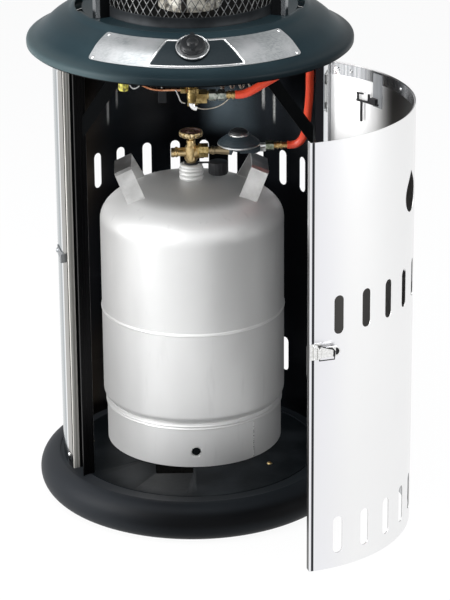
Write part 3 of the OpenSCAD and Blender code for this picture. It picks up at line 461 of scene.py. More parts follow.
def smooth_walls(piece):
    """Shades the inner and outer wall of a rolled sheet as true cylinders round the axis."""
    normals = []
    for face in piece.data.polygons:
        for corner in face.vertices:
            spot = piece.data.vertices[corner].co
            out = Vector((spot.x, spot.y, 0.0)).normalized()
            facing = out.dot(face.normal)
            normals.append(out * math.copysign(1.0, facing) if abs(facing) > 0.7 else face.normal)
    piece.data.normals_split_custom_set(normals)
    return piece


def flat_sheet(outlines):
    """A flat sheet of (x, height) outlines: the first is its edge, the others are openings."""
    flat = bmesh.new()
    for outline in outlines:
        corners = [flat.verts.new((x, 0.0, z)) for x, z in outline]
        for pair in zip(corners, corners[1:] + corners[:1]):
            flat.edges.new(pair)
    bmesh.ops.triangle_fill(flat, use_beauty=True, edges=flat.edges[:], normal=(0.0, -1.0, 0.0))
    return flat


def cut_strips(flat, axis, spots):
    """Cuts a flat sheet across at spots along an axis, so that it can bend there."""
    for spot in spots:
        bmesh.ops.bisect_plane(flat, geom=flat.verts[:] + flat.edges[:] + flat.faces[:], dist=0.0001,
                               plane_co=Vector(axis) * spot, plane_no=axis)


def drawn_out(shape, faces, way):
    """Draws faces out along way into a solid, and returns the points that moved."""
    made = bmesh.ops.extrude_face_region(shape, geom=faces, use_keep_orig=True)["geom"]
    moved = [v for v in made if isinstance(v, bmesh.types.BMVert)]
    bmesh.ops.translate(shape, vec=way, verts=moved)
    return moved


STRIP_ARC = 2.0


def rolled_sheet(name, radius, thick, first, last, low, high, openings):
    """A sheet cut flat as (arc length, height), then bent in strips of about 2 degrees to radius."""
    arc = math.radians(1.0) * radius
    outline = [(first * arc, low), (last * arc, low), (last * arc, high), (first * arc, high)]
    flat = flat_sheet([outline, *openings])
    count = math.ceil((last - first) / STRIP_ARC)
    cut_strips(flat, (1.0, 0.0, 0.0), [(first + (last - first) * k / count) * arc for k in range(1, count)])
    drawn_out(flat, flat.faces[:], (0.0, thick, 0.0))
    for v in flat.verts:
        v.co = turn_point(v.co.x / arc, radius - v.co.y, v.co.z)
    bmesh.ops.recalc_face_normals(flat, faces=flat.faces)
    return smooth_walls(piece_from(flat, name))


SLOT_WIDTH, SLOT_HEIGHT, SLOT_PITCH = 16.0, 61.0, 12.857


def slot_loop(centre, radius, z):
    """Outline of an upright slot with round ends, at an angle on a sheet of that radius."""
    middle, end_r, half = math.radians(centre) * radius, SLOT_WIDTH / 2, (SLOT_HEIGHT - SLOT_WIDTH) / 2
    return [*rounded(middle, z + half, end_r, 0.0, 180.0, 8),
            *rounded(middle, z - half, end_r, 180.0, 360.0, 8)]


def slot_row(radius, middle, z):
    """Outlines of ten slots side by side, about an angle."""
    return [slot_loop(middle + (k - 4.5) * SLOT_PITCH, radius, z) for k in range(10)]


mirror_steel = Finish("mirror_steel", 1.0)
streak = mirror_steel.noise(9.0, 4.0, (6.0, 6.0, 0.25))
fine = mirror_steel.noise(700.0, 2.0, (1.0, 1.0, 0.02))
blotch = mirror_steel.noise(4.5, 2.0, (1.0, 1.0, 0.7))
inside = 1.0 - mirror_steel.reach().ramp(0.2189, 0.2196)
wall_x, wall_y, wall_z = (mirror_steel.axis(letter) for letter in "XYZ")


def wall_patch(x_low, x_high, z_low, z_high, soft, fade):
    """1 on a patch of the housing's back wall, where a reflection is painted, with soft sides and ends."""
    sides = wall_x.band(x_low, x_low + soft, x_high - soft, x_high)
    return sides * wall_z.band(z_low, z_low + fade, z_high - fade, z_high) * wall_y.ramp(0.0, 0.05)


# The inside's colour is a painted reflection of the dark bay, with paler patches painted as reflections of
# the cylinder and the slots opposite; it is also browner in patches on the left.
warm_left = (1.0 - wall_x.ramp(-0.19, -0.12)) * blotch.ramp(0.3, 0.6)
painted_pale_reflection, painted_grey_reflection = (0.012, 0.125, 0.53, 0.63, 0.04, 0.03), (-0.128, -0.02, 0.52, 0.66, 0.05, 0.05)
painted_inside_reflections = mirror_steel.mix(blotch.ramp(0.42, 0.68), (0.010, 0.011, 0.014), (0.045, 0.055, 0.065))
painted_inside_reflections = mirror_steel.mix(warm_left, painted_inside_reflections, (0.050, 0.036, 0.024))
painted_inside_reflections = mirror_steel.mix(wall_patch(*painted_pale_reflection), painted_inside_reflections, (0.13, 0.17, 0.20))
painted_inside_reflections = mirror_steel.mix(wall_patch(*painted_grey_reflection) * 0.5, painted_inside_reflections, (0.085, 0.085, 0.092))
MIRRORED_SLOTS = [(-0.139, -0.133, 0.565, 0.640), (-0.124, -0.118, 0.590, 0.655),
                  (0.120, 0.127, 0.585, 0.655), (0.138, 0.144, 0.565, 0.630)]
for bounds in MIRRORED_SLOTS:
    painted_inside_reflections = mirror_steel.mix(wall_patch(*bounds, 0.0028, 0.02), painted_inside_reflections, (0.70, 0.71, 0.70))
bright_skin_and_reflections = mirror_steel.mix(streak.ramp(0.3, 0.7), (0.55, 0.57, 0.60), (0.70, 0.72, 0.73))
# Near its left edge the outside is painted in light and dark bands: painted reflections.
left_side = (1.0 - wall_x.ramp(-0.15, -0.14)) * (1.0 - wall_y.ramp(0.02, 0.10))
painted_edge_reflections = mirror_steel.mix(wall_y.ramp(-0.066, -0.064), (0.34, 0.33, 0.31), (0.86, 0.87, 0.88))
painted_edge_reflections = mirror_steel.mix(wall_y.ramp(-0.060, -0.057), painted_edge_reflections, (0.24, 0.28, 0.30))
bright_skin_and_reflections = mirror_steel.mix(left_side, bright_skin_and_reflections, painted_edge_reflections)
mirror_steel.set("Base Color", mirror_steel.mix(inside, bright_skin_and_reflections, painted_inside_reflections))
mirror_steel.set("Roughness", 0.07 + streak * 0.07 + fine * 0.05 + inside * 0.12)
mirror_steel.bump(streak, 0.0006, 0.25)
SHELL_LOW, SHELL_HIGH = 59.0, 763.0
shell_openings = slot_row(SHELL_R, 180.0, 495.0) + [slot_loop(133.7, SHELL_R, 160.0)]
shell = rolled_sheet("housing_sheet", SHELL_R, 1.2, 72.0, 292.5, SHELL_LOW, SHELL_HIGH, shell_openings)
shown(shell, "housing", mirror_steel, "housing_shell", slot="polished_steel")


# Door frame edge, stiffener and braces: folded strips of the same sheet stand inside both edges of
# the housing. Two flat struts, bent at their ends, stiffen the opening under the collar; they and
# the ring that carries the collar are painted black.
def folded_strip(name, outline, low, high, thick):
    """A sheet folded along an outline of (angle, radius) and standing from low to high."""
    flat = bmesh.new()
    line = [flat.verts.new(turn_point(a, r, low)) for a, r in outline]
    edges = [flat.edges.new(pair) for pair in zip(line, line[1:])]
    made = bmesh.ops.extrude_edge_only(flat, edges=edges)["geom"]
    upper = [v for v in made if isinstance(v, bmesh.types.BMVert)]
    bmesh.ops.translate(flat, vec=(0.0, 0.0, high - low), verts=upper)
    piece = piece_from(flat, name, sharp=60.0)
    wall = piece.modifiers.new("wall", "SOLIDIFY")
    wall.thickness, wall.offset, wall.use_even_offset = thick * MM, 0.0, True
    soften(piece, 0.3, 40.0)
    return piece


def sweep(first, last, radius, count=8):
    """Points of a bend round the axis, as (angle, radius)."""
    return [(first + (last - first) * k / count, radius) for k in range(count + 1)]


inner_steel = Finish("inner_steel", 1.0)
drawn = inner_steel.noise(30.0, 3.0, (8.0, 8.0, 0.1))
inner_steel.vary(drawn, (0.40, 0.41, 0.43), (0.62, 0.63, 0.64), 0.12, 0.14, (0.3, 0.7))
CHANNEL = [*sweep(-70.3, -67.5, 218.1, 3), (-67.3, 217.6), (-67.3, 197.0), *sweep(-67.0, -58.8, 196.3),
           (-58.5, 197.0), (-58.5, 217.6), (-58.2, 218.1), (-57.5, 218.1)]
channel_steel = Finish("channel_steel", Specular_IOR_Level=0.1)
pull_marks = channel_steel.noise(24.0, 3.0, (10.0, 10.0, 0.05))
# Beyond its web the channel is coloured near black and not metallic: painted shade in its deep part.
deep = channel_steel.axis("X").ramp(-0.1925, -0.1915)
pale = channel_steel.mix(pull_marks.ramp(0.35, 0.65), (0.30, 0.29, 0.27), (0.66, 0.65, 0.61))
channel_steel.set("Base Color", channel_steel.mix(deep, pale, (0.0015, 0.0015, 0.0018)))
channel_steel.set("Roughness", 0.2 + pull_marks * 0.16)
channel_steel.set("Metallic", 0.3 * (1.0 - deep))
STRIP_LOW, STRIP_HIGH = SHELL_LOW + 0.1, SHELL_HIGH - 0.1
shown(folded_strip("latch_side_channel", CHANNEL, STRIP_LOW, STRIP_HIGH, 1.2), "housing", channel_steel,
      "left_channel", slot="inner_steel")
shaded_steel = Finish("shaded_steel", 1.0)
edge_lines = shaded_steel.noise(30.0, 2.0, (8.0, 8.0, 0.05))
shaded_steel.vary(edge_lines, (0.012, 0.012, 0.014), (0.40, 0.39, 0.37), 0.16, 0.12, (0.56, 0.62))
STIFFENER = [*reversed(sweep(72.8, 77.6, 218.1, 4)), (72.6, 217.6), (72.6, 206.0), (72.9, 205.3),
             (74.6, 205.3)]
shown(folded_strip("hinge_side_stiffener", STIFFENER, STRIP_LOW, STRIP_HIGH, 1.2), "housing", shaded_steel,
      "right_stiffener", slot="inner_steel")

black_strut = Finish("black_strut", Specular_IOR_Level=0.03)
strut_grain = black_strut.noise(500.0, 3.0)
black_strut.vary(strut_grain, (0.0015, 0.0018, 0.002), (0.004, 0.0045, 0.005), 0.28, 0.2)
black_strut.bump(strut_grain, 0.0001, 0.5)
black_strut.put("left_brace", "right_brace", "top_ring")


# Door: a rolled sheet that follows the housing, with two rows of slots and a flame-shaped opening.
# It is drawn shut and swung open about its hinge pins, as the photograph shows it.
hinge_low, hinge_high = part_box("hinge_pins")
HINGE = (hinge_low + hinge_high) / 2 / MM
HINGE.z = 0.0
DOOR_OPEN = math.radians(80.0)
SWUNG = Matrix.Translation(HINGE) @ Matrix.Rotation(DOOR_OPEN, 4, "Z") @ Matrix.Translation(-HINGE)


def swung(piece):
    """Turns a piece drawn on the shut door to where the door stands open."""
    piece.data.transform(Matrix.Scale(MM, 4) @ SWUNG @ Matrix.Scale(1.0 / MM, 4))
    return piece


FLAME_R, FLAME_HEIGHT = 27.0, 66.0


def flame_loop(angle, radius, low):
    """Outline of the flame-shaped opening: a round foot drawn up to a point."""
    touch = math.degrees(math.asin(FLAME_R / (FLAME_HEIGHT - FLAME_R)))
    x = math.radians(angle) * radius
    return [(x, low + FLAME_HEIGHT), *rounded(x, low + FLAME_R, FLAME_R, touch, -180.0 - touch, 20)]


door_steel = Finish("door_steel", 1.0)
hairline = door_steel.noise(900.0, 2.0, (1.0, 1.0, 0.01))
handled = door_steel.noise(4.0, 5.0)
# Painted light: outside, the door is painted darker towards its free edge, with a grey line at its right edge
# and a dark seam in the fold at its free edge, painted reflection and shade; inside, it is near black with a
# band lit at the top, painted shade and painted light.
across, height = door_steel.axis("X"), door_steel.axis("Z")
outer_tone_and_painted_light = door_steel.mix(across.ramp(0.175, 0.235), (0.81, 0.81, 0.84), (0.86, 0.86, 0.86))
outer_tone_and_painted_light = door_steel.mix(handled.ramp(0.3, 0.7) * 0.4, outer_tone_and_painted_light, (0.80, 0.80, 0.805))
outer_tone_and_painted_light = door_steel.mix(across.ramp(0.3310, 0.3330), outer_tone_and_painted_light, (0.36, 0.37, 0.39))
outer_tone_and_painted_light = door_steel.mix(across.band(0.1655, 0.1662, 0.1692, 0.1700), outer_tone_and_painted_light, (0.03, 0.03, 0.035))
lit = height.ramp(0.56, 0.68) * (1.0 - across.ramp(0.285, 0.310))
shade = door_steel.mix(lit, (0.060, 0.058, 0.056), (0.88, 0.88, 0.88))
door_middle = SWUNG.translation * MM
outer_face = door_steel.reach(door_middle.x, door_middle.y).ramp(0.2233, 0.2237)
door_steel.set("Base Color", door_steel.mix(1.0 - outer_face, outer_tone_and_painted_light, shade))
door_steel.set("Roughness", 0.24 + hairline * 0.1 + handled * 0.08)
door_steel.bump(hairline, 0.00004, 0.4)
DOOR_R, DOOR_LOW, DOOR_HIGH, DOOR_LEFT, DOOR_RIGHT = 224.0, 64.0, 748.0, -66.4, 71.0
door_openings = [loop for z in (477.0, 118.0) for loop in slot_row(DOOR_R, 3.6, z)]
door_openings.append(flame_loop(-8.0, DOOR_R, 590.0))
door = rolled_sheet("door_sheet", DOOR_R, 1.0, DOOR_LEFT, DOOR_RIGHT, DOOR_LOW, DOOR_HIGH, door_openings)
shown(swung(door), "door", door_steel, "door_skin", slot="polished_steel")
HEM, HEM_HEIGHT = (DOOR_LEFT + 0.7, DOOR_RIGHT - 0.9), 19.0
for name, low, node_name in (("door_upper_hem", DOOR_HIGH - 1.0 - HEM_HEIGHT, "door_top_hem"),
                             ("door_lower_hem", DOOR_LOW + 1.0, "door_bottom_hem")):
    hem = rolled_sheet(name, 222.9, 1.4, *HEM, low, low + HEM_HEIGHT, [])
    soften(hem, 0.6, 50.0, 3)
    shown(swung(hem), "door", inner_steel, node_name, slot="polished_steel")
FLANGE = [(222.2, DOOR_LOW), (211.7, DOOR_LOW), (211.7, 379.0), (207.7, 383.0), (207.7, 427.0),
          (211.7, 431.0), (211.7, DOOR_HIGH), (222.2, DOOR_HIGH)]
flange = bmesh.new()
flange_face = flange.faces.new([flange.verts.new((-0.7, -r, z)) for r, z in FLANGE])
drawn_out(flange, [flange_face], (1.4, 0.0, 0.0))
bmesh.ops.rotate(flange, matrix=Matrix.Rotation(math.radians(-66.15), 3, "Z"), verts=flange.verts)
bmesh.ops.recalc_face_normals(flange, faces=flange.faces)
shown(swung(piece_from(flange, "door_free_fold", 0.5)), "door", door_steel, "door_free_flange",
      slot="polished_steel")
HINGE_FOLD = [(70.6, 222.4), (70.6, 212.4)]
shown(swung(folded_strip("door_hinge_fold", HINGE_FOLD, DOOR_LOW, DOOR_HIGH, 1.4)), "door", inner_steel,
      "door_hinge_flange", slot="inner_steel")


# Door fittings: a grey bracket and a black wire clip on the door's inner side, bright rivets, and
# hinge leaves of zinc-plated steel on pins.
def cad_shape(source):
    """A CAD node's own shape, merged, in millimetres."""
    shape = bmesh.new()
    shape.from_mesh(nodes[source].data)
    bmesh.ops.remove_doubles(shape, verts=shape.verts, dist=0.00001)
    bmesh.ops.dissolve_limit(shape, angle_limit=math.radians(1.0), verts=shape.verts, edges=shape.edges)
    bmesh.ops.scale(shape, vec=(1 / MM,) * 3, verts=shape.verts)
    return shape


def like_cad(name, source, body, finish, edge=0.25, angle=35.0, slot=None):
    """A CAD node's own shape with soft edges and a finish."""
    return shown(piece_from(cad_shape(source), name, edge, angle), body, finish, source, slot=slot)


grey_plate = Finish("grey_plate", 0.8)
plate_grain = grey_plate.noise(200.0, 3.0, (1.0, 1.0, 0.1))
grey_plate.vary(plate_grain, (0.17, 0.18, 0.19), (0.30, 0.31, 0.32), 0.32, 0.2)
like_cad("door_bracket_plate", "door_bracket", "door", grey_plate, 0.2, slot="grey_bracket")
black_wire = Finish("black_wire", Specular_IOR_Level=0.2)
black_wire.vary(black_wire.noise(600.0, 3.0), (0.006, 0.006, 0.007), (0.020, 0.020, 0.022), 0.3, 0.25)
like_cad("door_wire_clip", "door_clip", "door", black_wire, 0.5, slot="black_wire")
bright_zinc.put("door_rivets", "hinge_pins")
hinge_zinc = Finish("hinge_zinc", 1.0)
hinge_zinc.vary(hinge_zinc.noise(180.0, 4.0), (0.36, 0.37, 0.37), (0.56, 0.57, 0.57), 0.26, 0.2)
like_cad("hinge_fixed_leaf_set", "hinge_fixed_leaves", "housing", hinge_zinc, 0.2, slot="hinge_steel")
like_cad("hinge_door_leaf_set", "hinge_door_leaves", "door", hinge_zinc, 0.2, slot="hinge_steel")


# Draw latch: a nickel-plated lever with a half-moon finger hole and a dark wire bail, riveted to
# the door's free edge, and a hooked keeper riveted to the housing. A thin black half-disc behind
# the finger hole is painted shade, so that the hole looks dark.
def placed(shape, place):
    """Moves a shape that is drawn at the origin to its place."""
    bmesh.ops.transform(shape, matrix=place, verts=shape.verts)
    return shape


def rod(radius, low, high):
    """Outline of a plain round rod or disc, for turning."""
    return [(0.0, low), (radius, low), (radius, high), (0.0, high)]


nickel = Finish("nickel", 1.0)
nickel.vary(nickel.noise(350.0, 3.0), (0.72, 0.72, 0.71), (0.86, 0.86, 0.85), 0.12, 0.14, (0.3, 0.7))
like_cad("latch_base_plate", "latch_base", "door", nickel, 0.25, slot="latch_steel")
like_cad("latch_lever_plate", "latch_lever", "latch_lever", nickel, 0.3, slot="latch_steel")
dark_wire = Finish("dark_wire", Specular_IOR_Level=0.15)
dark_wire.vary(dark_wire.noise(500.0, 2.0), (0.004, 0.004, 0.005), (0.016, 0.016, 0.018), 0.32, 0.2)
like_cad("latch_wire_bail", "latch_bail", "latch_bail", dark_wire, 0.0, 80.0, slot="black_wire")
LATCH = SWUNG @ at_angle(-64.3, 225.0, 424.0)
FINGER_HOLE = Matrix.Translation((30.0, -5.0, 0.0))
# A black half-disc behind the finger hole: painted shade.
hole_shade = turned(rod(6.6, 0.0, 0.5), 48)
bmesh.ops.bisect_plane(hole_shade, geom=hole_shade.verts[:] + hole_shade.edges[:] + hole_shade.faces[:], dist=0.0001,
                       plane_co=(-0.5, 0.0, 0.0), plane_no=(-1.0, 0.0, 0.0), clear_outer=True)
bmesh.ops.holes_fill(hole_shade, edges=[e for e in hole_shade.edges if e.is_boundary])
placed(hole_shade, LATCH @ FINGER_HOLE @ FACING_OUT)
shown(piece_from(hole_shade, "latch_finger_hole_shade"), "latch_lever", dark_wire, slot="black_wire")
like_cad("latch_keeper_hook", "latch_keeper", "housing", grey_plate, 0.25, slot="grey_bracket")


# Collar: a deep pressed shroud in dark blue-green paint whose outside falls from the burner deck
# in a long slope to a rolled lip. Two curved air slots are cut in its top beside the side posts.
COLLAR_TOP = [(0, 0), (0, 7), (-3, 11), (-12, 15), (-21, 21), (-30, 29), (-39, 37), (-48, 43), (-58, 48),
              (-68, 53), (-74, 58), (-80, 61), (-84.5, 60), (-88, 57.5), (-92, 56)]
COLLAR_R, COLLAR_Z, NECK_R, DECK_Z = 260.0, 766.0, 139.0, 822.0


def smooth_line(points):
    """A smooth line through (radius, height) points, with three more between each two."""
    made = []
    for k in range(len(points) - 1):
        a, b, c, d = (Vector(points[min(max(k + n, 0), len(points) - 1)]) for n in (-1, 0, 1, 2))
        for t in (0.0, 0.25, 0.5, 0.75):
            made.append(0.5 * (2 * b + (c - a) * t + (2 * a - 5 * b + 4 * c - d) * t * t
                               + (3 * b - a - 3 * c + d) * t * t * t))
    return [tuple(p) for p in made] + [tuple(points[-1])]


collar_paint = Finish("collar_paint", Specular_IOR_Level=0.06)
speck, mottle = collar_paint.noise(800.0, 2.0), collar_paint.noise(6.0, 4.0)
collar_tone_and_painted_light = collar_paint.mix(mottle.ramp(0.3, 0.7), (0.012, 0.024, 0.030), (0.021, 0.037, 0.044))
# Painted light on the lower lip: darkened towards the middle and right, painted shade, and lightened on the
# left, a painted highlight.
under_lip = 1.0 - collar_paint.axis("Z").ramp(0.767, 0.790)
lip_left = 1.0 - collar_paint.axis("X").ramp(-0.20, -0.05)
collar_tone_and_painted_light = collar_paint.mix(under_lip * (1.0 - lip_left) * 0.9, collar_tone_and_painted_light, (0.003, 0.006, 0.008))
collar_tone_and_painted_light = collar_paint.mix(under_lip * lip_left * 0.8, collar_tone_and_painted_light, (0.060, 0.085, 0.090))
collar_paint.set("Base Color", collar_tone_and_painted_light)
collar_paint.set("Roughness", 0.26 + speck * 0.12 + mottle * 0.1)
collar_paint.bump(speck, 0.00012, 0.6)
outer_line = smooth_line([(COLLAR_R + r, COLLAR_Z + z) for r, z in COLLAR_TOP])
inner_line = [(r - 2.2, z - 2.4) for r, z in reversed(outer_line[2:])]
collar_outline = [*outer_line, (NECK_R, DECK_Z), (NECK_R, DECK_Z - 3.0), *inner_line,
                  (COLLAR_R - 2.6, COLLAR_Z)]
collar = piece_from(turned(collar_outline, 192), "collar_shell")
AIR_SLOT, AIR_ARC = [(171.0, 810.0), (182.0, 810.0), (182.0, 835.0), (171.0, 835.0)], 25.0


def air_slot(middle):
    """A block bent round the axis, to cut one air slot about an angle."""
    shape = bmesh.new()
    face = shape.faces.new([shape.verts.new(turn_point(middle - AIR_ARC / 2, r, z)) for r, z in AIR_SLOT])
    bmesh.ops.spin(shape, geom=[face], cent=(0, 0, 0), axis=(0, 0, 1), angle=math.radians(AIR_ARC), steps=16,
                   use_merge=False)
    bmesh.ops.recalc_face_normals(shape, faces=shape.faces)
    return piece_from(shape, "air_slot")


air_slots = [air_slot(middle) for middle in (-87.0, 87.0)]
shown(carved(collar, *air_slots), "housing", collar_paint, "collar", slot="dark_paint")


# Control plate: a rounded plate of brushed steel curved over the collar's front, with a dark inner
# panel in a bright raised frame round the knob. Four small screws hold its corners.
def along_profile(distance, lift):
    """Point of the collar's outside at a distance up from the plate's lower edge, raised by lift."""
    left = distance
    for low, high in zip(PLATE_LINE, PLATE_LINE[1:]):
        length = (high - low).length
        if left <= length or high is PLATE_LINE[-1]:
            along = (high - low) / length
            return low + along * left + Vector((-along.y, along.x)) * -lift
        left -= length


def curved_plate(name, outline, lift, thick, edge=0.3):
    """A plate cut flat as (angle, distance up the collar) and pressed over the collar."""
    flat = flat_sheet([outline])
    cut_strips(flat, (1.0, 0.0, 0.0), range(-42, 45))
    cut_strips(flat, (0.0, 0.0, 1.0), range(3, 57, 3))
    drawn_out(flat, flat.faces[:], (0.0, thick, 0.0))
    for v in flat.verts:
        r, z = along_profile(v.co.z, lift + v.co.y)
        v.co = turn_point(v.co.x, r, z)
    bmesh.ops.recalc_face_normals(flat, faces=flat.faces)
    return piece_from(flat, name, edge, 50.0)


DEGREE_ARC = 3.7


def round_corners(corners, cuts, radius):
    """Outline through (angle, distance) corners, each rounded over about radius millimetres."""
    spots = [Vector((angle * DEGREE_ARC, distance)) for angle, distance in corners]
    made = []
    for k, here in enumerate(spots):
        sides = [(spots[n] - here).normalized() * radius for n in (k - 1, (k + 1) % len(spots))]
        for t in [n / cuts for n in range(cuts + 1)]:
            spot = here + sides[0] * (1 - t) ** 2 + sides[1] * t ** 2
            made.append((spot.x / DEGREE_ARC, spot.y))
    return made


PLATE_LINE = [Vector(p) for p in outer_line if 191.5 <= p[0] <= 239.5 and p[1] > 785.0]
PLATE_TALL = sum((b - a).length for a, b in zip(PLATE_LINE, PLATE_LINE[1:]))
brushed_plate = Finish("brushed_plate", 0.75)
brushing = brushed_plate.noise(700.0, 3.0, (0.05, 1.0, 1.0))
stain = brushed_plate.noise(22.0, 4.0)
plate_tone = brushed_plate.mix(brushing.ramp(0.3, 0.7), (0.28, 0.30, 0.31), (0.44, 0.455, 0.46))
brushed_plate.set("Base Color", brushed_plate.mix(stain.ramp(0.35, 0.75), plate_tone, (0.50, 0.51, 0.52)))
brushed_plate.set("Roughness", 0.28 + brushing * 0.2)
brushed_plate.bump(brushing, 0.00005, 0.5)
PLATE = [(-41.8, 0.3), (44.6, 0.3), (44.4, PLATE_TALL - 0.3), (-42.0, PLATE_TALL - 0.3)]
shown(curved_plate("control_plate_sheet", round_corners(PLATE, 6, 6.0), 0.3, 1.2), "housing", brushed_plate,
      "control_plate", slot="plate_grey")

panel_paint = Finish("panel_paint", Specular_IOR_Level=0.06)
panel_paint.vary(panel_paint.noise(500.0, 3.0), (0.014, 0.020, 0.024), (0.026, 0.034, 0.038), 0.3, 0.2)
PANEL = [(-16.2, 4.5), (18.9, 4.5), (13.9, 51.5), (-11.2, 51.5)]
KNOB_PLACE, KNOB_TILT = Vector((0.0, -210.0, 809.0)), math.radians(30.0)
KNOB_AXIS = Matrix.Translation(KNOB_PLACE) @ Matrix.Rotation(KNOB_TILT, 4, "X")
panel_hole = piece_from(placed(turned(rod(23.6, -12.0, 30.0), 64), KNOB_AXIS), "panel_hole")
panel = carved(curved_plate("control_panel_inset", round_corners(PANEL, 5, 4.0), 1.2, 0.9, 0.0), panel_hole)
shown(panel, "housing", panel_paint, slot="plate_grey")
polished_trim = Finish("polished_trim", 1.0)
polished_trim.vary(polished_trim.noise(300.0, 3.0), (0.80, 0.81, 0.82), (0.92, 0.92, 0.92), 0.1, 0.14)
FRAME_ROUTE = round_corners([(-17.0, 3.0), (19.7, 3.0), (14.5, 53.0), (-11.8, 53.0)], 6, 5.0)
frame_points = []
for start, after in zip(FRAME_ROUTE, FRAME_ROUTE[1:] + FRAME_ROUTE[:1]):
    count = max(1, round(abs(after[0] - start[0]) / 2.0 + abs(after[1] - start[1]) / 6.0))
    frame_points += [tuple(a + (b - a) * j / count for a, b in zip(start, after)) for j in range(count)]
behind_ring = [k for k, (a, s) in enumerate(frame_points) if abs(a) < 5.8 and s > 45.0]
open_points = frame_points[behind_ring[-1] + 1:] + frame_points[:behind_ring[0]]
frame_places = [turn_point(a, *along_profile(s, 2.0)) * MM for a, s in open_points]
panel_frame = wire_curve("control_panel_frame", frame_places, 0.0015, 3)
panel_frame.data.resolution_u = 2
shown(panel_frame, "housing", polished_trim, slot="chrome_trim")

plate_places = []
for angle in (-39.9, 42.6):
    for up in (5.0, PLATE_TALL - 5.0):
        r, z = along_profile(up, 1.5)
        plate_places.append(at_angle(angle, r, z) @ Matrix.Rotation(math.radians(38.0), 4, "X"))
shown(screw_heads("control_plate_screws", plate_places, 2.8, 1.3), "housing", bright_zinc, "plate_screws",
      slot="bright_screw")


# Knob: a round fluted knob of black plastic with a grip bar, inside a bright ring. It is pushed in
# and turned on a steel spindle that passes through the collar to the gas valve.
def joined(*shapes):
    """Puts several closed shapes in one."""
    whole = shapes[0]
    for part in shapes[1:]:
        data = bpy.data.meshes.new("part")
        part.to_mesh(data)
        part.free()
        whole.from_mesh(data)
        bpy.data.meshes.remove(data)
    return whole


def round_about(count, radius):
    """Places spread evenly round a circle."""
    turns = [math.tau * (k + 0.5) / count for k in range(count)]
    return [(radius * math.cos(turn), radius * math.sin(turn)) for turn in turns]


BEZEL = [(26.0, -5.5), (26.0, 5.0), (25.6, 6.2), (24.7, 6.8), (23.8, 6.4), (23.0, 5.2), (23.0, -5.5)]
bezel = piece_from(placed(turned(BEZEL, 64), KNOB_AXIS), "knob_bright_ring")
ring_trim = Finish("ring_trim", 1.0)
ring_up, ring_in = ring_trim.axis("Z") - KNOB_PLACE.z * MM, ring_trim.axis("Y") - KNOB_PLACE.y * MM
ring_top = (ring_up * math.cos(KNOB_TILT) - ring_in * math.sin(KNOB_TILT)).ramp(0.0044, 0.0054)
ring_trim.set("Base Color", ring_trim.mix(ring_top, (0.012, 0.017, 0.020), (0.78, 0.79, 0.80)))
ring_trim.set("Roughness", 0.5 - ring_top * 0.3)
shown(bezel, "housing", ring_trim, "knob_bezel", slot="chrome_trim")
knob_black = Finish("knob_black", Specular_IOR_Level=0.22)
moulded = knob_black.noise(900.0, 2.0)
knob_black.vary(moulded, (0.008, 0.009, 0.010), (0.022, 0.023, 0.025), 0.24, 0.16)
knob_black.bump(moulded, 0.0001, 0.4)
KNOB = [(0.0, 7.0), (19.4, 7.0), (20.0, 7.6), (20.0, 9.6), (19.2, 10.4), (18.4, 13.0), (17.4, 14.4),
        (15.6, 15.0), (9.6, 15.4), (8.4, 17.6), (7.0, 19.0), (5.0, 19.6), (0.0, 19.8)]
flutes = [piece_from(placed(turned(rod(1.5, 9.0, 30.0), 12), Matrix.Translation((x, y, 3.0))), "flute")
          for x, y in round_about(18, 19.6)]
knob = carved(piece_from(turned(KNOB, 96), "black_knob"), *flutes)
grip = bmesh.new()
grip.from_mesh(knob.data)
bmesh.ops.scale(grip, vec=(1 / MM,) * 3, verts=grip.verts)
bpy.data.objects.remove(knob)
grip = placed(joined(grip, block((7.0, 35.0, 8.0), (0.0, 0.0, 15.0), 3.0)), KNOB_AXIS)
shown(piece_from(grip, "control_knob_body", 0.5), "control_knob", knob_black, "control_knob",
      slot="knob_plastic")
spindle_steel = Finish("spindle_steel", 1.0, Base_Color=(0.50, 0.50, 0.51, 1.0))
spindle_steel.set("Roughness", 0.22 + spindle_steel.noise(900.0, 2.0) * 0.18)
spindle_steel.put("knob_spindle")


# Gas valve: a brass body behind the collar's front, with a bright elbow and a thin bent steel tube
# below it, plated nuts towards the hose, a copper pilot tube and a coiled thermocouple lead. Beside
# it hang a yellow igniter plug, a small tilt switch and thin grey leads.
rough_brass = Finish("rough_brass", 1.0)
cast, dull = rough_brass.noise(260.0, 5.0), rough_brass.noise(70.0, 4.0)
rough_brass.vary(dull, (0.16, 0.11, 0.040), (0.56, 0.43, 0.20), 0.24, 0.3, (0.35, 0.68), cast)
rough_brass.bump(cast, 0.0004, 0.6)
VALVE_CUTS = [((30.0, 40.0, 30.0), (20.0, -170.0, 698.5)), ((30.0, 40.0, 14.0), (24.0, -170.0, 735.0)),
              ((40.0, 40.0, 30.0), (0.0, -170.0, 694.0))]
valve_cutters = [piece_from(block(size, place), "valve_cut") for size, place in VALVE_CUTS]
valve_body = carved(piece_from(cad_shape("gas_valve"), "gas_valve_body"), *valve_cutters)
soften(valve_body, 1.4, 40.0)
shown(valve_body, "housing", rough_brass, "gas_valve", slot="valve_brass")
BONNET = [(0.0, -8.0), (5.6, -8.0), (6.6, -6.6), (6.6, -2.0), (7.4, -1.2), (7.4, 9.0), (6.6, 10.0),
          (6.6, 14.0), (5.6, 15.0), (0.0, 15.0)]
bonnet = placed(turned(BONNET, 32), Matrix.Translation((-1.5, -182.0, 724.0)))
shown(piece_from(bonnet, "gas_valve_barrel", 0.3), "housing", rough_brass, slot="valve_brass")
ELBOW = [(-0.0015, -0.182, 0.719), (-0.0015, -0.182, 0.7135), (0.0015, -0.182, 0.7095),
         (0.0065, -0.182, 0.708)]
shown(wire_curve("gas_valve_chrome_elbow", ELBOW, 0.0052, 8), "housing", polished_trim, slot="chrome_trim")
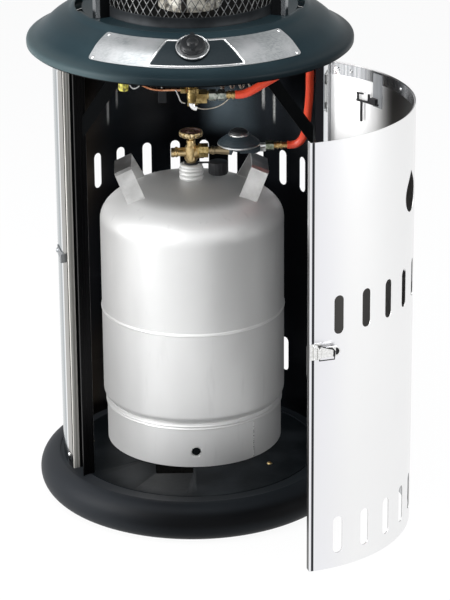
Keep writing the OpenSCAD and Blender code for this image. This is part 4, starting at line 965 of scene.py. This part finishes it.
tube_steel = Finish("tube_steel", 1.0)
tube_steel.vary(tube_steel.noise(300.0, 3.0), (0.22, 0.18, 0.14), (0.52, 0.48, 0.42), 0.24, 0.2)
STEEL_TUBE = [(0.006, -0.182, 0.7075), (0.016, -0.181, 0.7052), (0.027, -0.178, 0.7048),
              (0.041, -0.170, 0.7066), (0.052, -0.163, 0.7118), (0.058, -0.158, 0.718)]
shown(wire_curve("gas_valve_steel_tube", STEEL_TUBE, 0.0010, 4), "housing", tube_steel, slot="chrome_trim")
COIL = [(0.040 + 0.0026 * k, -0.139 - 0.005 * math.sin(k * 1.1), 0.7305 + 0.0055 * math.cos(k * 1.1))
        for k in range(22)]
shown(wire_curve("thermocouple_coil", COIL, 0.0016, 4), "housing", tube_steel, slot="chrome_trim")

plated = Finish("plated_fittings", 1.0)
verdigris = plated.noise(200.0, 4.0)
nut_tone = plated.mix(verdigris.ramp(0.3, 0.7), (0.20, 0.23, 0.20), (0.50, 0.52, 0.47))
brass_tone = plated.mix(verdigris.ramp(0.3, 0.7), (0.30, 0.20, 0.075), (0.60, 0.44, 0.20))
plated.set("Base Color", plated.mix(plated.axis("X").ramp(0.0515, 0.0525), nut_tone, brass_tone))
plated.set("Roughness", 0.24 + verdigris * 0.2)
like_cad("valve_fitting_set", "valve_fittings", "housing", plated, 0.5, 30.0, slot="fitting_plated")

copper = Finish("copper_tube", 1.0)
copper.vary(copper.noise(60.0, 4.0), (0.36, 0.13, 0.06), (0.72, 0.40, 0.24), 0.2, 0.16, (0.35, 0.7))
PILOT = [(-0.00805, -0.172, 0.733), (-0.015, -0.172, 0.7335), (-0.030, -0.172, 0.7345),
         (-0.050, -0.172, 0.7345), (-0.066, -0.172, 0.7375), (-0.080, -0.172, 0.745),
         (-0.089, -0.172, 0.752), (-0.092, -0.172, 0.763)]
shown(wire_curve("copper_pilot_tube", PILOT, 0.0025, 5), "housing", copper, "pilot_tube", slot="copper")
copper_nut = turned([(0.0, 0.0), (5.2, 0.0), (5.6, 0.8), (5.6, 8.2), (5.2, 9.0), (0.0, 9.0)], 6)
placed(copper_nut, Matrix.Translation((-18.5, -172.0, 733.2)) @ Matrix.Rotation(math.radians(90.0), 4, "Y"))
shown(piece_from(copper_nut, "copper_tube_nut", 0.3), "housing", rough_brass, slot="valve_brass")

yellow = Finish("yellow_plug_plastic")
yellow.vary(yellow.noise(220.0, 4.0), (0.60, 0.54, 0.08), (0.13, 0.12, 0.02), 0.36, 0.25, (0.38, 0.62))
PLUG = [(0.0, -33.0), (5.5, -33.0), (7.6, -31.5), (8.0, -29.0), (8.0, -17.6), (9.4, -17.0), (10.0, -15.6),
        (10.0, -12.4), (8.8, -11.6), (8.8, -9.2), (10.0, -8.4), (10.0, -4.8), (8.8, -4.0), (8.8, 0.0),
        (0.0, 0.0)]
plug = placed(turned(PLUG, 12), Matrix.Translation((-106.0, -160.0, 763.0)))
shown(piece_from(plug, "yellow_igniter_plug", 0.4), "housing", yellow, "igniter_plug", slot="yellow_plastic")
black_case = Finish("black_case", Specular_IOR_Level=0.15)
black_case.vary(black_case.noise(700.0, 2.0), (0.004, 0.0045, 0.005), (0.011, 0.012, 0.014), 0.32, 0.2)
like_cad("tilt_switch_case", "tilt_switch", "housing", black_case, 0.8, 30.0, slot="black_plastic")
LEADS = {
    "igniter_lead": [(-0.098, -0.160, 0.742), (-0.092, -0.164, 0.735), (-0.086, -0.166, 0.736),
                     (-0.078, -0.165, 0.745), (-0.070, -0.160, 0.763)],
    "switch_lead": [(-0.046, -0.148, 0.729), (-0.052, -0.154, 0.738), (-0.060, -0.160, 0.744),
                    (-0.062, -0.156, 0.763)],
    "pilot_lead": [(-0.026, -0.176, 0.735), (-0.022, -0.178, 0.726), (-0.018, -0.176, 0.716),
                   (-0.012, -0.172, 0.712)],
}
lead_grey = Finish("lead_sheath", Roughness=0.4)
sheath = lead_grey.noise(400.0, 2.0)
lead_grey.set("Base Color", lead_grey.mix(sheath, (0.24, 0.245, 0.25), (0.42, 0.42, 0.41)))
for name, points in LEADS.items():
    shown(wire_curve(name, points, 0.001, 3), "housing", lead_grey, slot="black_plastic")


# Burner: a round can of heat-stained steel on a plate across the collar's neck. A narrow dark gap
# runs down its front, where the ends of its sheet meet.
dark_deck = Finish("dark_deck", Specular_IOR_Level=0.02)
soot = dark_deck.noise(90.0, 5.0)
dark_deck.vary(soot, (0.002, 0.002, 0.002), (0.009, 0.009, 0.009), 0.6, 0.3, (0.35, 0.7))
dark_deck.put("burner_deck")
stained = Finish("stained_screen", 0.6)
scale_marks, spots = stained.noise(70.0, 6.0, (1.0, 1.0, 0.6), 0.7), stained.noise(26.0, 3.0)
cream = stained.mix(spots.ramp(0.35, 0.7), (0.46, 0.43, 0.36), (0.66, 0.65, 0.60))
burnt = stained.mix(scale_marks.ramp(0.40, 0.56), (0.055, 0.050, 0.042), cream)
front = 1.0 - stained.axis("Y").ramp(-0.02, 0.0)
dark_gap = stained.axis("X").band(-0.0156, -0.0140, -0.0060, -0.0044) * front
stained.set("Base Color", stained.mix(dark_gap, burnt, (0.012, 0.010, 0.009)))
stained.set("Roughness", 0.34 + scale_marks * 0.3)
stained.bump(scale_marks, 0.0008, 0.6)
BURNER = [(0.0, 1001.0), (46.0, 1002.0), (49.0, 1001.2), (50.0, 999.0), (50.0, 994.0), (49.2, 993.0),
          (49.2, 832.0), (50.0, 831.0), (50.0, DECK_Z), (48.4, DECK_Z), (48.4, 999.0), (0.0, 999.0)]
shown(piece_from(turned(BURNER, 96), "burner_screen_can"), "housing", stained, "burner_can",
      slot="burner_steel")


# Guard: expanded steel mesh, dark and slightly bright on its strands, rolled into a tube between a
# plain lower band and an upper band, round the burner.
band_steel = Finish("band_steel", 0.5, Specular_IOR_Level=0.3)
haze = band_steel.noise(30.0, 4.0)
band_steel.vary(haze, (0.010, 0.012, 0.014), (0.024, 0.027, 0.030), 0.42, 0.16, (0.3, 0.7))
for name, low, node_name in (("guard_lower_band", DECK_Z, "guard_band"),
                             ("guard_upper_band", 1043.0, "guard_top")):
    high = low + 17.0
    band = [(140.0, low), (141.0, low), (141.0, low + 2.0), (140.6, low + 3.0), (140.6, high - 3.0),
            (141.0, high - 2.0), (141.0, high - 0.4), (140.6, high), (139.7, high - 0.4), (139.5, high - 3.0),
            (139.5, low)]
    shown(piece_from(turned(band, 160), name), "housing", band_steel, node_name, slot="guard_grey")

strand_steel = Finish("strand_steel", 0.9)
weathered = strand_steel.noise(160.0, 3.0)
strand_steel.vary(weathered, (0.07, 0.073, 0.076), (0.20, 0.205, 0.205), 0.3, 0.2, (0.3, 0.7))
CELLS, ROWS, MESH_R, MESH_LOW, MESH_HIGH = 68, 11, 140.1, 824.0, 1058.0
lattice = bmesh.new()
grid = {}
for row in range(2 * ROWS + 1):
    for column in range(CELLS):
        spot = (column + (row % 2) / 2) * 360.0 / CELLS
        height = MESH_LOW + (MESH_HIGH - MESH_LOW) * row / (2 * ROWS)
        grid[row, column] = lattice.verts.new(turn_point(spot, MESH_R, height))
for row in range(1, 2 * ROWS):
    for column in range(CELLS):
        middle = (column + row % 2) % CELLS
        lattice.faces.new([grid[row, column], grid[row + 1, middle], grid[row, (column + 1) % CELLS],
                           grid[row - 1, middle]])
bmesh.ops.recalc_face_normals(lattice, faces=lattice.faces)
diamonds = lattice.faces[:]
bmesh.ops.inset_individual(lattice, faces=diamonds, thickness=0.48, use_even_offset=True)
bmesh.ops.delete(lattice, geom=diamonds, context="FACES")
mesh_guard = piece_from(lattice, "guard_expanded_mesh", sharp=30.0)
wall = mesh_guard.modifiers.new("wall", "SOLIDIFY")
wall.thickness, wall.offset = 0.9 * MM, 0.0
shown(mesh_guard, "housing", strand_steel, "guard_mesh", slot="mesh_black")


# Posts and hood: three bright channels with black liners carry the reflector and the hood, a
# shallow spun bowl in the collar's paint with a rolled rim and a domed nut on top.
post_steel = Finish("post_steel", 1.0)
pull = post_steel.noise(500.0, 2.0, (1.0, 1.0, 0.03))
post_steel.vary(pull, (0.15, 0.16, 0.17), (0.26, 0.27, 0.28), 0.14, 0.16)
POST_ANGLES, POST_LOW, POST_HIGH, POST_WALL = (-64.0, 64.0, 180.0), DECK_Z, 1148.0, 1.6


def standing_channels(name, half, back, face, edge):
    """Channels that are open towards the axis, one at each of the three post places."""
    inner, web = half - POST_WALL, face - POST_WALL
    outline = [(-half, back), (-half, face), (half, face), (half, back),
               (inner, back), (inner, web), (-inner, web), (-inner, back)]
    shape = bmesh.new()
    for angle in POST_ANGLES:
        foot = shape.faces.new([shape.verts.new((x, -r, POST_LOW)) for x, r in outline])
        risen = drawn_out(shape, [foot], (0.0, 0.0, POST_HIGH - POST_LOW))
        turn = Matrix.Rotation(math.radians(angle), 3, "Z")
        bmesh.ops.rotate(shape, matrix=turn, verts=foot.verts[:] + risen)
    bmesh.ops.recalc_face_normals(shape, faces=shape.faces)
    return piece_from(shape, name, edge)


shown(standing_channels("post_channels", 5.5, 159.0, 167.0, 0.5), "housing", post_steel, "posts",
      slot="post_steel")
shown(standing_channels("post_black_liners", 6.5, 143.2, 158.9, 0.4), "housing", black_strut, "post_liners",
      slot="black_plastic")

spun_steel = Finish("spun_steel", 1.0)
ring_sockets = {"Vector": spun_steel.place(), "Scale": 90.0, "Distortion": 0.4, "Detail": 2.0}
rings = spun_steel.node("TexWave", {"wave_type": "RINGS", "rings_direction": "Z"}, ring_sockets, "Fac")
spun_steel.vary(rings, (0.58, 0.59, 0.60), (0.74, 0.745, 0.75), 0.18, 0.14)
DISC = [(0.0, 1150.0), (279.0, 1150.0), (279.5, 1149.4), (279.5, 1148.0), (262.0, 1148.0), (258.0, 1148.7),
        (150.0, 1148.7), (146.0, 1148.0), (60.0, 1148.0), (56.0, 1148.7), (0.0, 1148.7)]
shown(piece_from(turned(DISC, 160), "heat_reflector"), "housing", spun_steel, "reflector", slot="post_steel")
HOOD = [(280, 2), (280, 8), (274, 16), (258, 26), (230, 44), (196, 60), (150, 75), (90, 85), (40, 89),
        (0, 90)]
HOOD_FOOT, HOOD_TOP = 1150.0, 1240.0
hood_line = smooth_line([(r, HOOD_FOOT + z) for r, z in HOOD])
hood_line[-1] = (0.0, HOOD_TOP)
hood_roll = rounded(277.6, HOOD_FOOT + 2.4, 2.4, -15.0, -200.0, 10)
hood_inside = [(max(r - 1.2, 0.0), z - 1.8) for r, z in hood_line[5:]]
hood_outline = [*reversed(hood_line), *hood_roll, *hood_inside]
shown(piece_from(turned(hood_outline, 192), "hood_shell"), "housing", collar_paint, "hood", slot="dark_paint")
DOME = [(0.0, 1254.0), (2.6, 1253.6), (4.8, 1252.2), (6.2, 1250.0), (0.0, 1250.0)]
HEX = [(0.0, 1250.0), (6.9, 1250.0), (7.9, 1248.8), (7.9, 1243.0), (7.4, 1242.0), (0.0, 1242.0)]
WASHER = [(0.0, 1242.0), (11.6, 1242.0), (12.0, 1241.5), (12.0, HOOD_TOP), (0.0, HOOD_TOP)]
hood_nut = turned(DOME, 32)
turned(HEX, 6, shape=hood_nut)
turned(WASHER, 40, shape=hood_nut)
shown(piece_from(hood_nut, "hood_domed_nut", 0.3), "housing", bright_zinc, "hood_nut", slot="bright_screw")


# Gas cylinder: a welded aluminium bottle with a blasted, matt surface. Two drawn halves meet in a
# weld round the middle, and it stands on a foot ring that is welded on and has three drain holes.
CYLINDER, BEAD_Z = (0.0, 56.0), 0.2945
matt_aluminium = Finish("matt_aluminium", 0.4)
blast, patch = matt_aluminium.noise(1100.0, 2.0), matt_aluminium.noise(7.0, 3.0, (1.0, 1.0, 0.5))
scuff = matt_aluminium.noise(60.0, 5.0, (1.0, 1.0, 0.15)).ramp(0.62, 0.72)
bottle_height = matt_aluminium.axis("Z")
# Painted light: a band round the shoulder is painted lighter, a painted highlight, and the dome above it
# darker, a painted reflection of the dark collar.
painted_shoulder_highlight = bottle_height.band(0.440, 0.470, 0.488, 0.500)
bead_band = bottle_height.band(BEAD_Z - 0.0034, BEAD_Z - 0.0022, BEAD_Z + 0.0022, BEAD_Z + 0.0034)
skin_tone_and_painted_light = matt_aluminium.mix(patch.ramp(0.3, 0.7), (0.63, 0.63, 0.625), (0.69, 0.69, 0.685))
skin_tone_and_painted_light = matt_aluminium.mix(painted_shoulder_highlight * 0.9, skin_tone_and_painted_light, (0.90, 0.90, 0.895))
skin_tone_and_painted_light = matt_aluminium.mix(bottle_height.ramp(0.490, 0.503) * 0.8, skin_tone_and_painted_light, (0.36, 0.36, 0.355))
skin_tone_and_painted_light = matt_aluminium.mix(scuff * 0.12, skin_tone_and_painted_light, (0.46, 0.46, 0.46))
matt_aluminium.set("Base Color", matt_aluminium.mix(bead_band, skin_tone_and_painted_light, (0.86, 0.86, 0.85)))
matt_aluminium.set("Roughness", 0.38 + blast * 0.1 + scuff * 0.1 - bead_band * 0.12)
matt_aluminium.bump(blast, 0.00025, 0.5)


def oval(a, b, middle, first, last, count=24):
    """Part of an ellipse as (radius, height) points."""
    turns = [math.radians(first + (last - first) * k / count) for k in range(count + 1)]
    return [(max(a * math.cos(t), 0.0), middle + b * math.sin(t)) for t in turns]


BODY = [*oval(151.5, 45.0, 150.0, -90.0, 0.0), (151.5, 291.6), (152.2, 292.2), (152.8, 293.3), (152.9, 294.5),
        (152.8, 295.7), (152.2, 296.8), (151.5, 297.4), *oval(151.5, 66.0, 447.0, 0.0, 90.0)]
shown(piece_from(turned(BODY, 192, CYLINDER), "cylinder_bottle"), "housing", matt_aluminium, "cylinder_body",
      slot="cylinder_aluminium")
FOOT = [(146.0, 59.6), (146.0, 77.0), (146.0, 97.0), (146.0, 125.6), (147.2, 125.9), (148.0, 127.0),
        (147.3, 128.2), (146.1, 129.4), (147.2, 130.4), (148.1, 131.9), (147.2, 133.4), (145.8, 134.6),
        (143.0, 136.0), (143.0, 97.0), (143.0, 77.0), (143.0, 59.6), (143.6, 59.0), (145.4, 59.0)]
foot = piece_from(turned(FOOT, 160, CYLINDER), "cylinder_foot_ring")
drill_holes = []
rims = bmesh.new()
for turn in (0.0, 120.0, 240.0):
    way = Matrix.Translation((*CYLINDER, 87.0)) @ Matrix.Rotation(math.radians(turn), 4, "Z") @ FACING_OUT
    drill_holes.append(piece_from(placed(turned(rod(7.5, 120.0, 170.0), 32), way), "drill"))
    first = len(rims.verts)
    turned([(7.4, 145.0), (7.4, 146.4), (8.3, 146.5), (8.8, 145.6)], 32, shape=rims)
    rims.verts.ensure_lookup_table()
    bmesh.ops.transform(rims, matrix=way, verts=rims.verts[first:])
shown(carved(foot, *drill_holes), "housing", matt_aluminium, "cylinder_foot", slot="cylinder_aluminium")
weld_bright = Finish("weld_bright", 1.0)
ripples = weld_bright.noise(500.0, 3.0)
weld_bright.vary(ripples, (0.66, 0.66, 0.65), (0.88, 0.88, 0.87), 0.2, 0.16)
weld_bright.bump(ripples, 0.0004, 0.6)
shown(piece_from(rims, "cylinder_foot_hole_rims"), "housing", weld_bright, slot="cylinder_aluminium")
seam_x, seam_y, _ = (turn_point(41.0, 146.3, 0.0) + Vector((*CYLINDER, 0.0))) * MM
seam_line = [(seam_x, seam_y, z) for z in (0.061, 0.080, 0.100, 0.124)]
shown(wire_curve("cylinder_foot_seam", seam_line, 0.0008, 3), "housing", weld_bright,
      slot="cylinder_aluminium")

handle_metal = Finish("handle_metal", 0.95)
smear, pores = handle_metal.noise(30.0, 5.0), handle_metal.noise(900.0, 2.0)
handle_tone = handle_metal.mix(smear.ramp(0.35, 0.7), (0.52, 0.52, 0.515), (0.74, 0.74, 0.735))
handle_metal.set("Base Color", handle_tone)
handle_metal.set("Roughness", 0.24 + smear * 0.2 + pores * 0.08)
handle_metal.bump(pores, 0.0002, 0.4)
like_cad("cylinder_strap_handles", "cylinder_handles", "housing", handle_metal, 0.9, 30.0,
         slot="handle_aluminium")
neck_matt = Finish("neck_matt", 0.4)
tooled = neck_matt.noise(300.0, 3.0, (1.0, 1.0, 6.0))
neck_matt.vary(tooled, (0.58, 0.58, 0.57), (0.78, 0.78, 0.77), 0.42, 0.2)
low_rib, middle_rib, high_rib = (rounded(16.6, z, 3.4, -80.0, 80.0, 8) for z in (516.0, 523.0, 530.0))
NECK = [(18.5, 510.5), (18.5, 512.6), *low_rib, (18.0, 519.6), *middle_rib, (18.0, 526.6), *high_rib,
        (18.2, 534.0), (18.2, 536.8), (16.8, 538.0), (8.0, 538.0), (8.0, 511.5)]
shown(piece_from(turned(NECK, 96, CYLINDER), "cylinder_neck_collar"), "housing", neck_matt, "neck_ring",
      slot="cylinder_aluminium")


# Cylinder valve: forged brass, with its handwheel on top, the relief valve on the left and the
# threaded outlet on the right, where the union nut of the regulator is screwed on. The outlet's
# black dust cap hangs beside it on a strap.
forged_brass = Finish("forged_brass", 1.0)
forge, tint = forged_brass.noise(330.0, 4.0), forged_brass.noise(55.0, 4.0)
forged_brass.vary(tint, (0.36, 0.24, 0.09), (0.74, 0.58, 0.32), 0.24, 0.22, (0.32, 0.68), forge)
forged_brass.bump(forge, 0.0004, 0.5)
SIDEWAYS = Matrix.Translation((*CYLINDER, 560.0)) @ Matrix.Rotation(math.radians(90.0), 4, "Y")
STEM = [(0.0, 538.0), (8.0, 538.0), (8.0, 542.0), (9.4, 543.4), (9.8, 546.0), (10.0, 549.0), (10.0, 566.0),
        (9.2, 568.0), (8.0, 569.5), (7.6, 571.0), (7.6, 577.4), (6.8, 578.6), (4.0, 579.0), (4.0, 593.0),
        (0.0, 593.0)]
FLATS = [(0.0, 544.6), (10.4, 544.6), (11.0, 545.4), (11.0, 550.4), (10.4, 551.2), (0.0, 551.2)]
body = turned(STEM, 40, CYLINDER)
turned(FLATS, 6, CYLINDER, shape=body)
arms = turned([(0.0, 0.0), (9.0, 0.0), (9.0, 19.6), (8.2, 20.8), (0.0, 20.8)], 32)
arm_count = len(arms.verts)
turned([(0.0, -33.0), (5.6, -33.0), (7.0, -32.2), (7.0, -27.6), (6.0, -26.8), (6.0, -26.0), (7.0, -25.4),
        (7.0, -23.0), (5.5, -21.4), (5.5, 0.0), (0.0, 0.0)], 12, shape=arms)
arms.verts.ensure_lookup_table()
bmesh.ops.translate(arms, vec=(4.0, 0.0, 0.0), verts=arms.verts[arm_count:])
placed(arms, SIDEWAYS)
shown(piece_from(joined(body, arms), "cylinder_valve_body", 0.4), "housing", forged_brass, "cylinder_valve",
      slot="valve_brass")
cap_plastic = Finish("valve_cap_plastic", Specular_IOR_Level=0.2)
cap_plastic.vary(cap_plastic.noise(500.0, 3.0), (0.007, 0.007, 0.008), (0.024, 0.025, 0.027), 0.32, 0.2)
DUST_CAP = [(0.0, 541.1), (13.8, 541.1), (15.2, 540.4), (15.6, 539.0), (15.6, 521.2), (14.9, 520.2),
            (13.6, 520.2), (13.4, 538.2), (0.0, 538.2)]
CAP_PLACE = (44.0, 56.0)
STRAP_EYE = [(8.1, 538.2), (12.0, 538.2), (12.0, 540.9), (11.6, 541.1), (8.3, 541.1)]
dust_cap = turned(DUST_CAP, 48, CAP_PLACE)
turned(STRAP_EYE, 40, CYLINDER, shape=dust_cap)
cap_middle = Matrix.Translation((*CAP_PLACE, 0.0))
ribs = [placed(block((1.1, 1.8, 17.4), (15.6, 0.0, 530.4), 0.5),
               cap_middle @ Matrix.Rotation(math.tau * k / 16, 4, "Z")) for k in range(16)]
strap = block((19.0, 5.6, 1.6), (20.4, 56.0, 539.3), 0.6)
shown(piece_from(joined(dust_cap, strap, *ribs), "valve_dust_cap", 0.3), "housing", cap_plastic, "valve_cap",
      slot="black_plastic")
wheel_brass = Finish("wheel_brass")
knurl = wheel_brass.noise(300.0, 3.0)
rim_tone = wheel_brass.mix(knurl.ramp(0.3, 0.7), (0.48, 0.35, 0.15), (0.80, 0.66, 0.42))
from_stem = wheel_brass.reach(0.0, CYLINDER[1] * MM)
on_top = wheel_brass.axis("Z").ramp(0.5913, 0.5918) * from_stem.band(0.0040, 0.0046, 0.0168, 0.0178)
wheel_brass.set("Base Color", wheel_brass.mix(on_top, rim_tone, (0.045, 0.018, 0.012)))
wheel_brass.set("Roughness", 0.24 + knurl * 0.2 + on_top * 0.2)
wheel_brass.set("Metallic", 1.0 - on_top)
WHEEL = [(4.3, 585.05), (17.4, 585.05), (19.0, 586.0), (19.6, 587.2), (19.6, 591.6), (19.0, 593.0),
         (17.8, 594.0), (15.4, 593.6), (14.6, 592.0), (8.0, 592.0), (6.6, 593.8), (4.6, 594.0), (0.0, 594.0),
         (0.0, 593.2), (4.3, 593.2)]
wheel = piece_from(turned(WHEEL, 96, CYLINDER), "brass_handwheel")
grips = [piece_from(turned(rod(1.9, 580.0, 600.0), 12, (x, CYLINDER[1] + y)), "grip")
         for x, y in round_about(18, 20.3)]
shown(carved(wheel, *grips), "handwheel", wheel_brass, "handwheel", slot="valve_brass")
nut_brass = Finish("nut_brass", 1.0)
nut_brass.vary(nut_brass.noise(240.0, 4.0), (0.36, 0.26, 0.085), (0.72, 0.57, 0.28), 0.2, 0.2, (0.3, 0.7))
like_cad("brass_union_nut", "union_nut", "union_nut", nut_brass, 0.7, 30.0, slot="union_brass")


# Regulator: a flat round casting in dark grey-blue paint with fine rings and a bright folded rim,
# a black cap, a brass inlet stem on the left and the hose's tail on the right.
REGULATOR = (78.0, 56.0)
regulator_paint = Finish("regulator_paint", Specular_IOR_Level=0.3)
from_middle = regulator_paint.reach(REGULATOR[0] * MM, REGULATOR[1] * MM)
level, along_pipe = regulator_paint.axis("Z"), regulator_paint.axis("X")
cast_grain = regulator_paint.noise(700.0, 2.0)
rim_bright = from_middle.ramp(0.0328, 0.0334) * level.band(0.5690, 0.5694, 0.5722, 0.5728)
stem_metal = (1.0 - along_pipe.ramp(0.0615, 0.0625)) * (1.0 - level.ramp(0.5672, 0.5680))
outlet_metal = along_pipe.ramp(0.1125, 0.1135)
paint_tone = regulator_paint.mix(cast_grain, (0.024, 0.034, 0.041), (0.045, 0.060, 0.070))
metal_share = (rim_bright + stem_metal + outlet_metal).ramp(0.0, 1.0)
metal_tone = regulator_paint.mix(stem_metal, (0.80, 0.81, 0.81), (0.34, 0.27, 0.17))
regulator_paint.set("Base Color", regulator_paint.mix(metal_share, paint_tone, metal_tone))
regulator_paint.set("Metallic", metal_share)
regulator_paint.set("Roughness", 0.26 + cast_grain * 0.14)
regulator_paint.bump(cast_grain, 0.0001, 0.4)
DISH = [(0.0, 559.0), (9.6, 559.0), (11.0, 560.2), (13.0, 567.0), (30.0, 569.0), (33.6, 569.4),
        (34.8, 570.4), (35.0, 572.0), (34.6, 573.6), (33.8, 574.6), (32.6, 575.0), (31.8, 576.4),
        (30.6, 576.6), (29.8, 577.8), (28.6, 578.2), (27.8, 579.4), (26.4, 579.9), (25.4, 581.2),
        (24.0, 581.8), (22.8, 583.2), (21.0, 584.0), (19.4, 585.2), (16.4, 586.8), (15.0, 587.5),
        (0.0, 587.5)]
INLET = [(0.0, 21.2), (6.0, 21.2), (6.0, 33.0), (7.2, 34.0), (7.2, 38.0), (6.2, 39.4), (7.0, 50.0),
         (9.0, 66.0), (0.0, 70.0)]
OUTLET = [(0.0, 78.0), (7.5, 80.0), (6.8, 108.0), (4.5, 112.0), (4.5, 121.9), (0.0, 121.9)]
pipes = turned(INLET, 32)
inlet_count = len(pipes.verts)
turned(OUTLET, 32, shape=pipes)
pipes.verts.ensure_lookup_table()
bmesh.ops.translate(pipes, vec=(-7.0, 0.0, 0.0), verts=pipes.verts[inlet_count:])
casting = joined(turned(DISH, 96, REGULATOR), placed(pipes, SIDEWAYS))
shown(piece_from(casting, "regulator_casting", sharp=28.0), "housing", regulator_paint, "regulator",
      slot="regulator_paint")
cap_black = Finish("cap_black", Specular_IOR_Level=0.25)
ribbing = cap_black.noise(800.0, 2.0)
collar_level = 1.0 - cap_black.axis("Z").ramp(0.5898, 0.5902)
ribbed_tone = cap_black.mix(ribbing, (0.009, 0.010, 0.011), (0.025, 0.026, 0.028))
cap_black.set("Base Color", cap_black.mix(collar_level, ribbed_tone, (0.82, 0.82, 0.81)))
cap_black.set("Metallic", collar_level)
cap_black.set("Roughness", 0.24 + ribbing * 0.14)
CAP = [(0.0, 586.0), (17.0, 586.0), (17.2, 587.2), (16.6, 588.6), (15.2, 589.6), (14.6, 590.0), (14.2, 592.6),
       (12.4, 594.2), (9.0, 595.1), (8.2, 594.6), (0.0, 595.3)]
shown(piece_from(turned(CAP, 48, REGULATOR), "regulator_black_cap", 0.2), "housing", cap_black,
      "regulator_cap", slot="black_plastic")
tail_finish = Finish("hose_tail_finish", 1.0)
tail_wear = tail_finish.noise(220.0, 4.0)
tail_nut = tail_finish.mix(tail_wear.ramp(0.3, 0.7), (0.17, 0.20, 0.13), (0.46, 0.50, 0.40))
tail_brass = tail_finish.mix(tail_wear.ramp(0.3, 0.7), (0.40, 0.24, 0.08), (0.72, 0.52, 0.24))
at_hose = tail_finish.axis("X").ramp(0.1345, 0.1355)
tail_finish.set("Base Color", tail_finish.mix(at_hose, tail_nut, tail_brass))
tail_finish.set("Roughness", 0.22 + tail_wear * 0.2)
like_cad("hose_tail_fitting", "hose_tail", "housing", tail_finish, 0.4, 30.0, slot="fitting_plated")
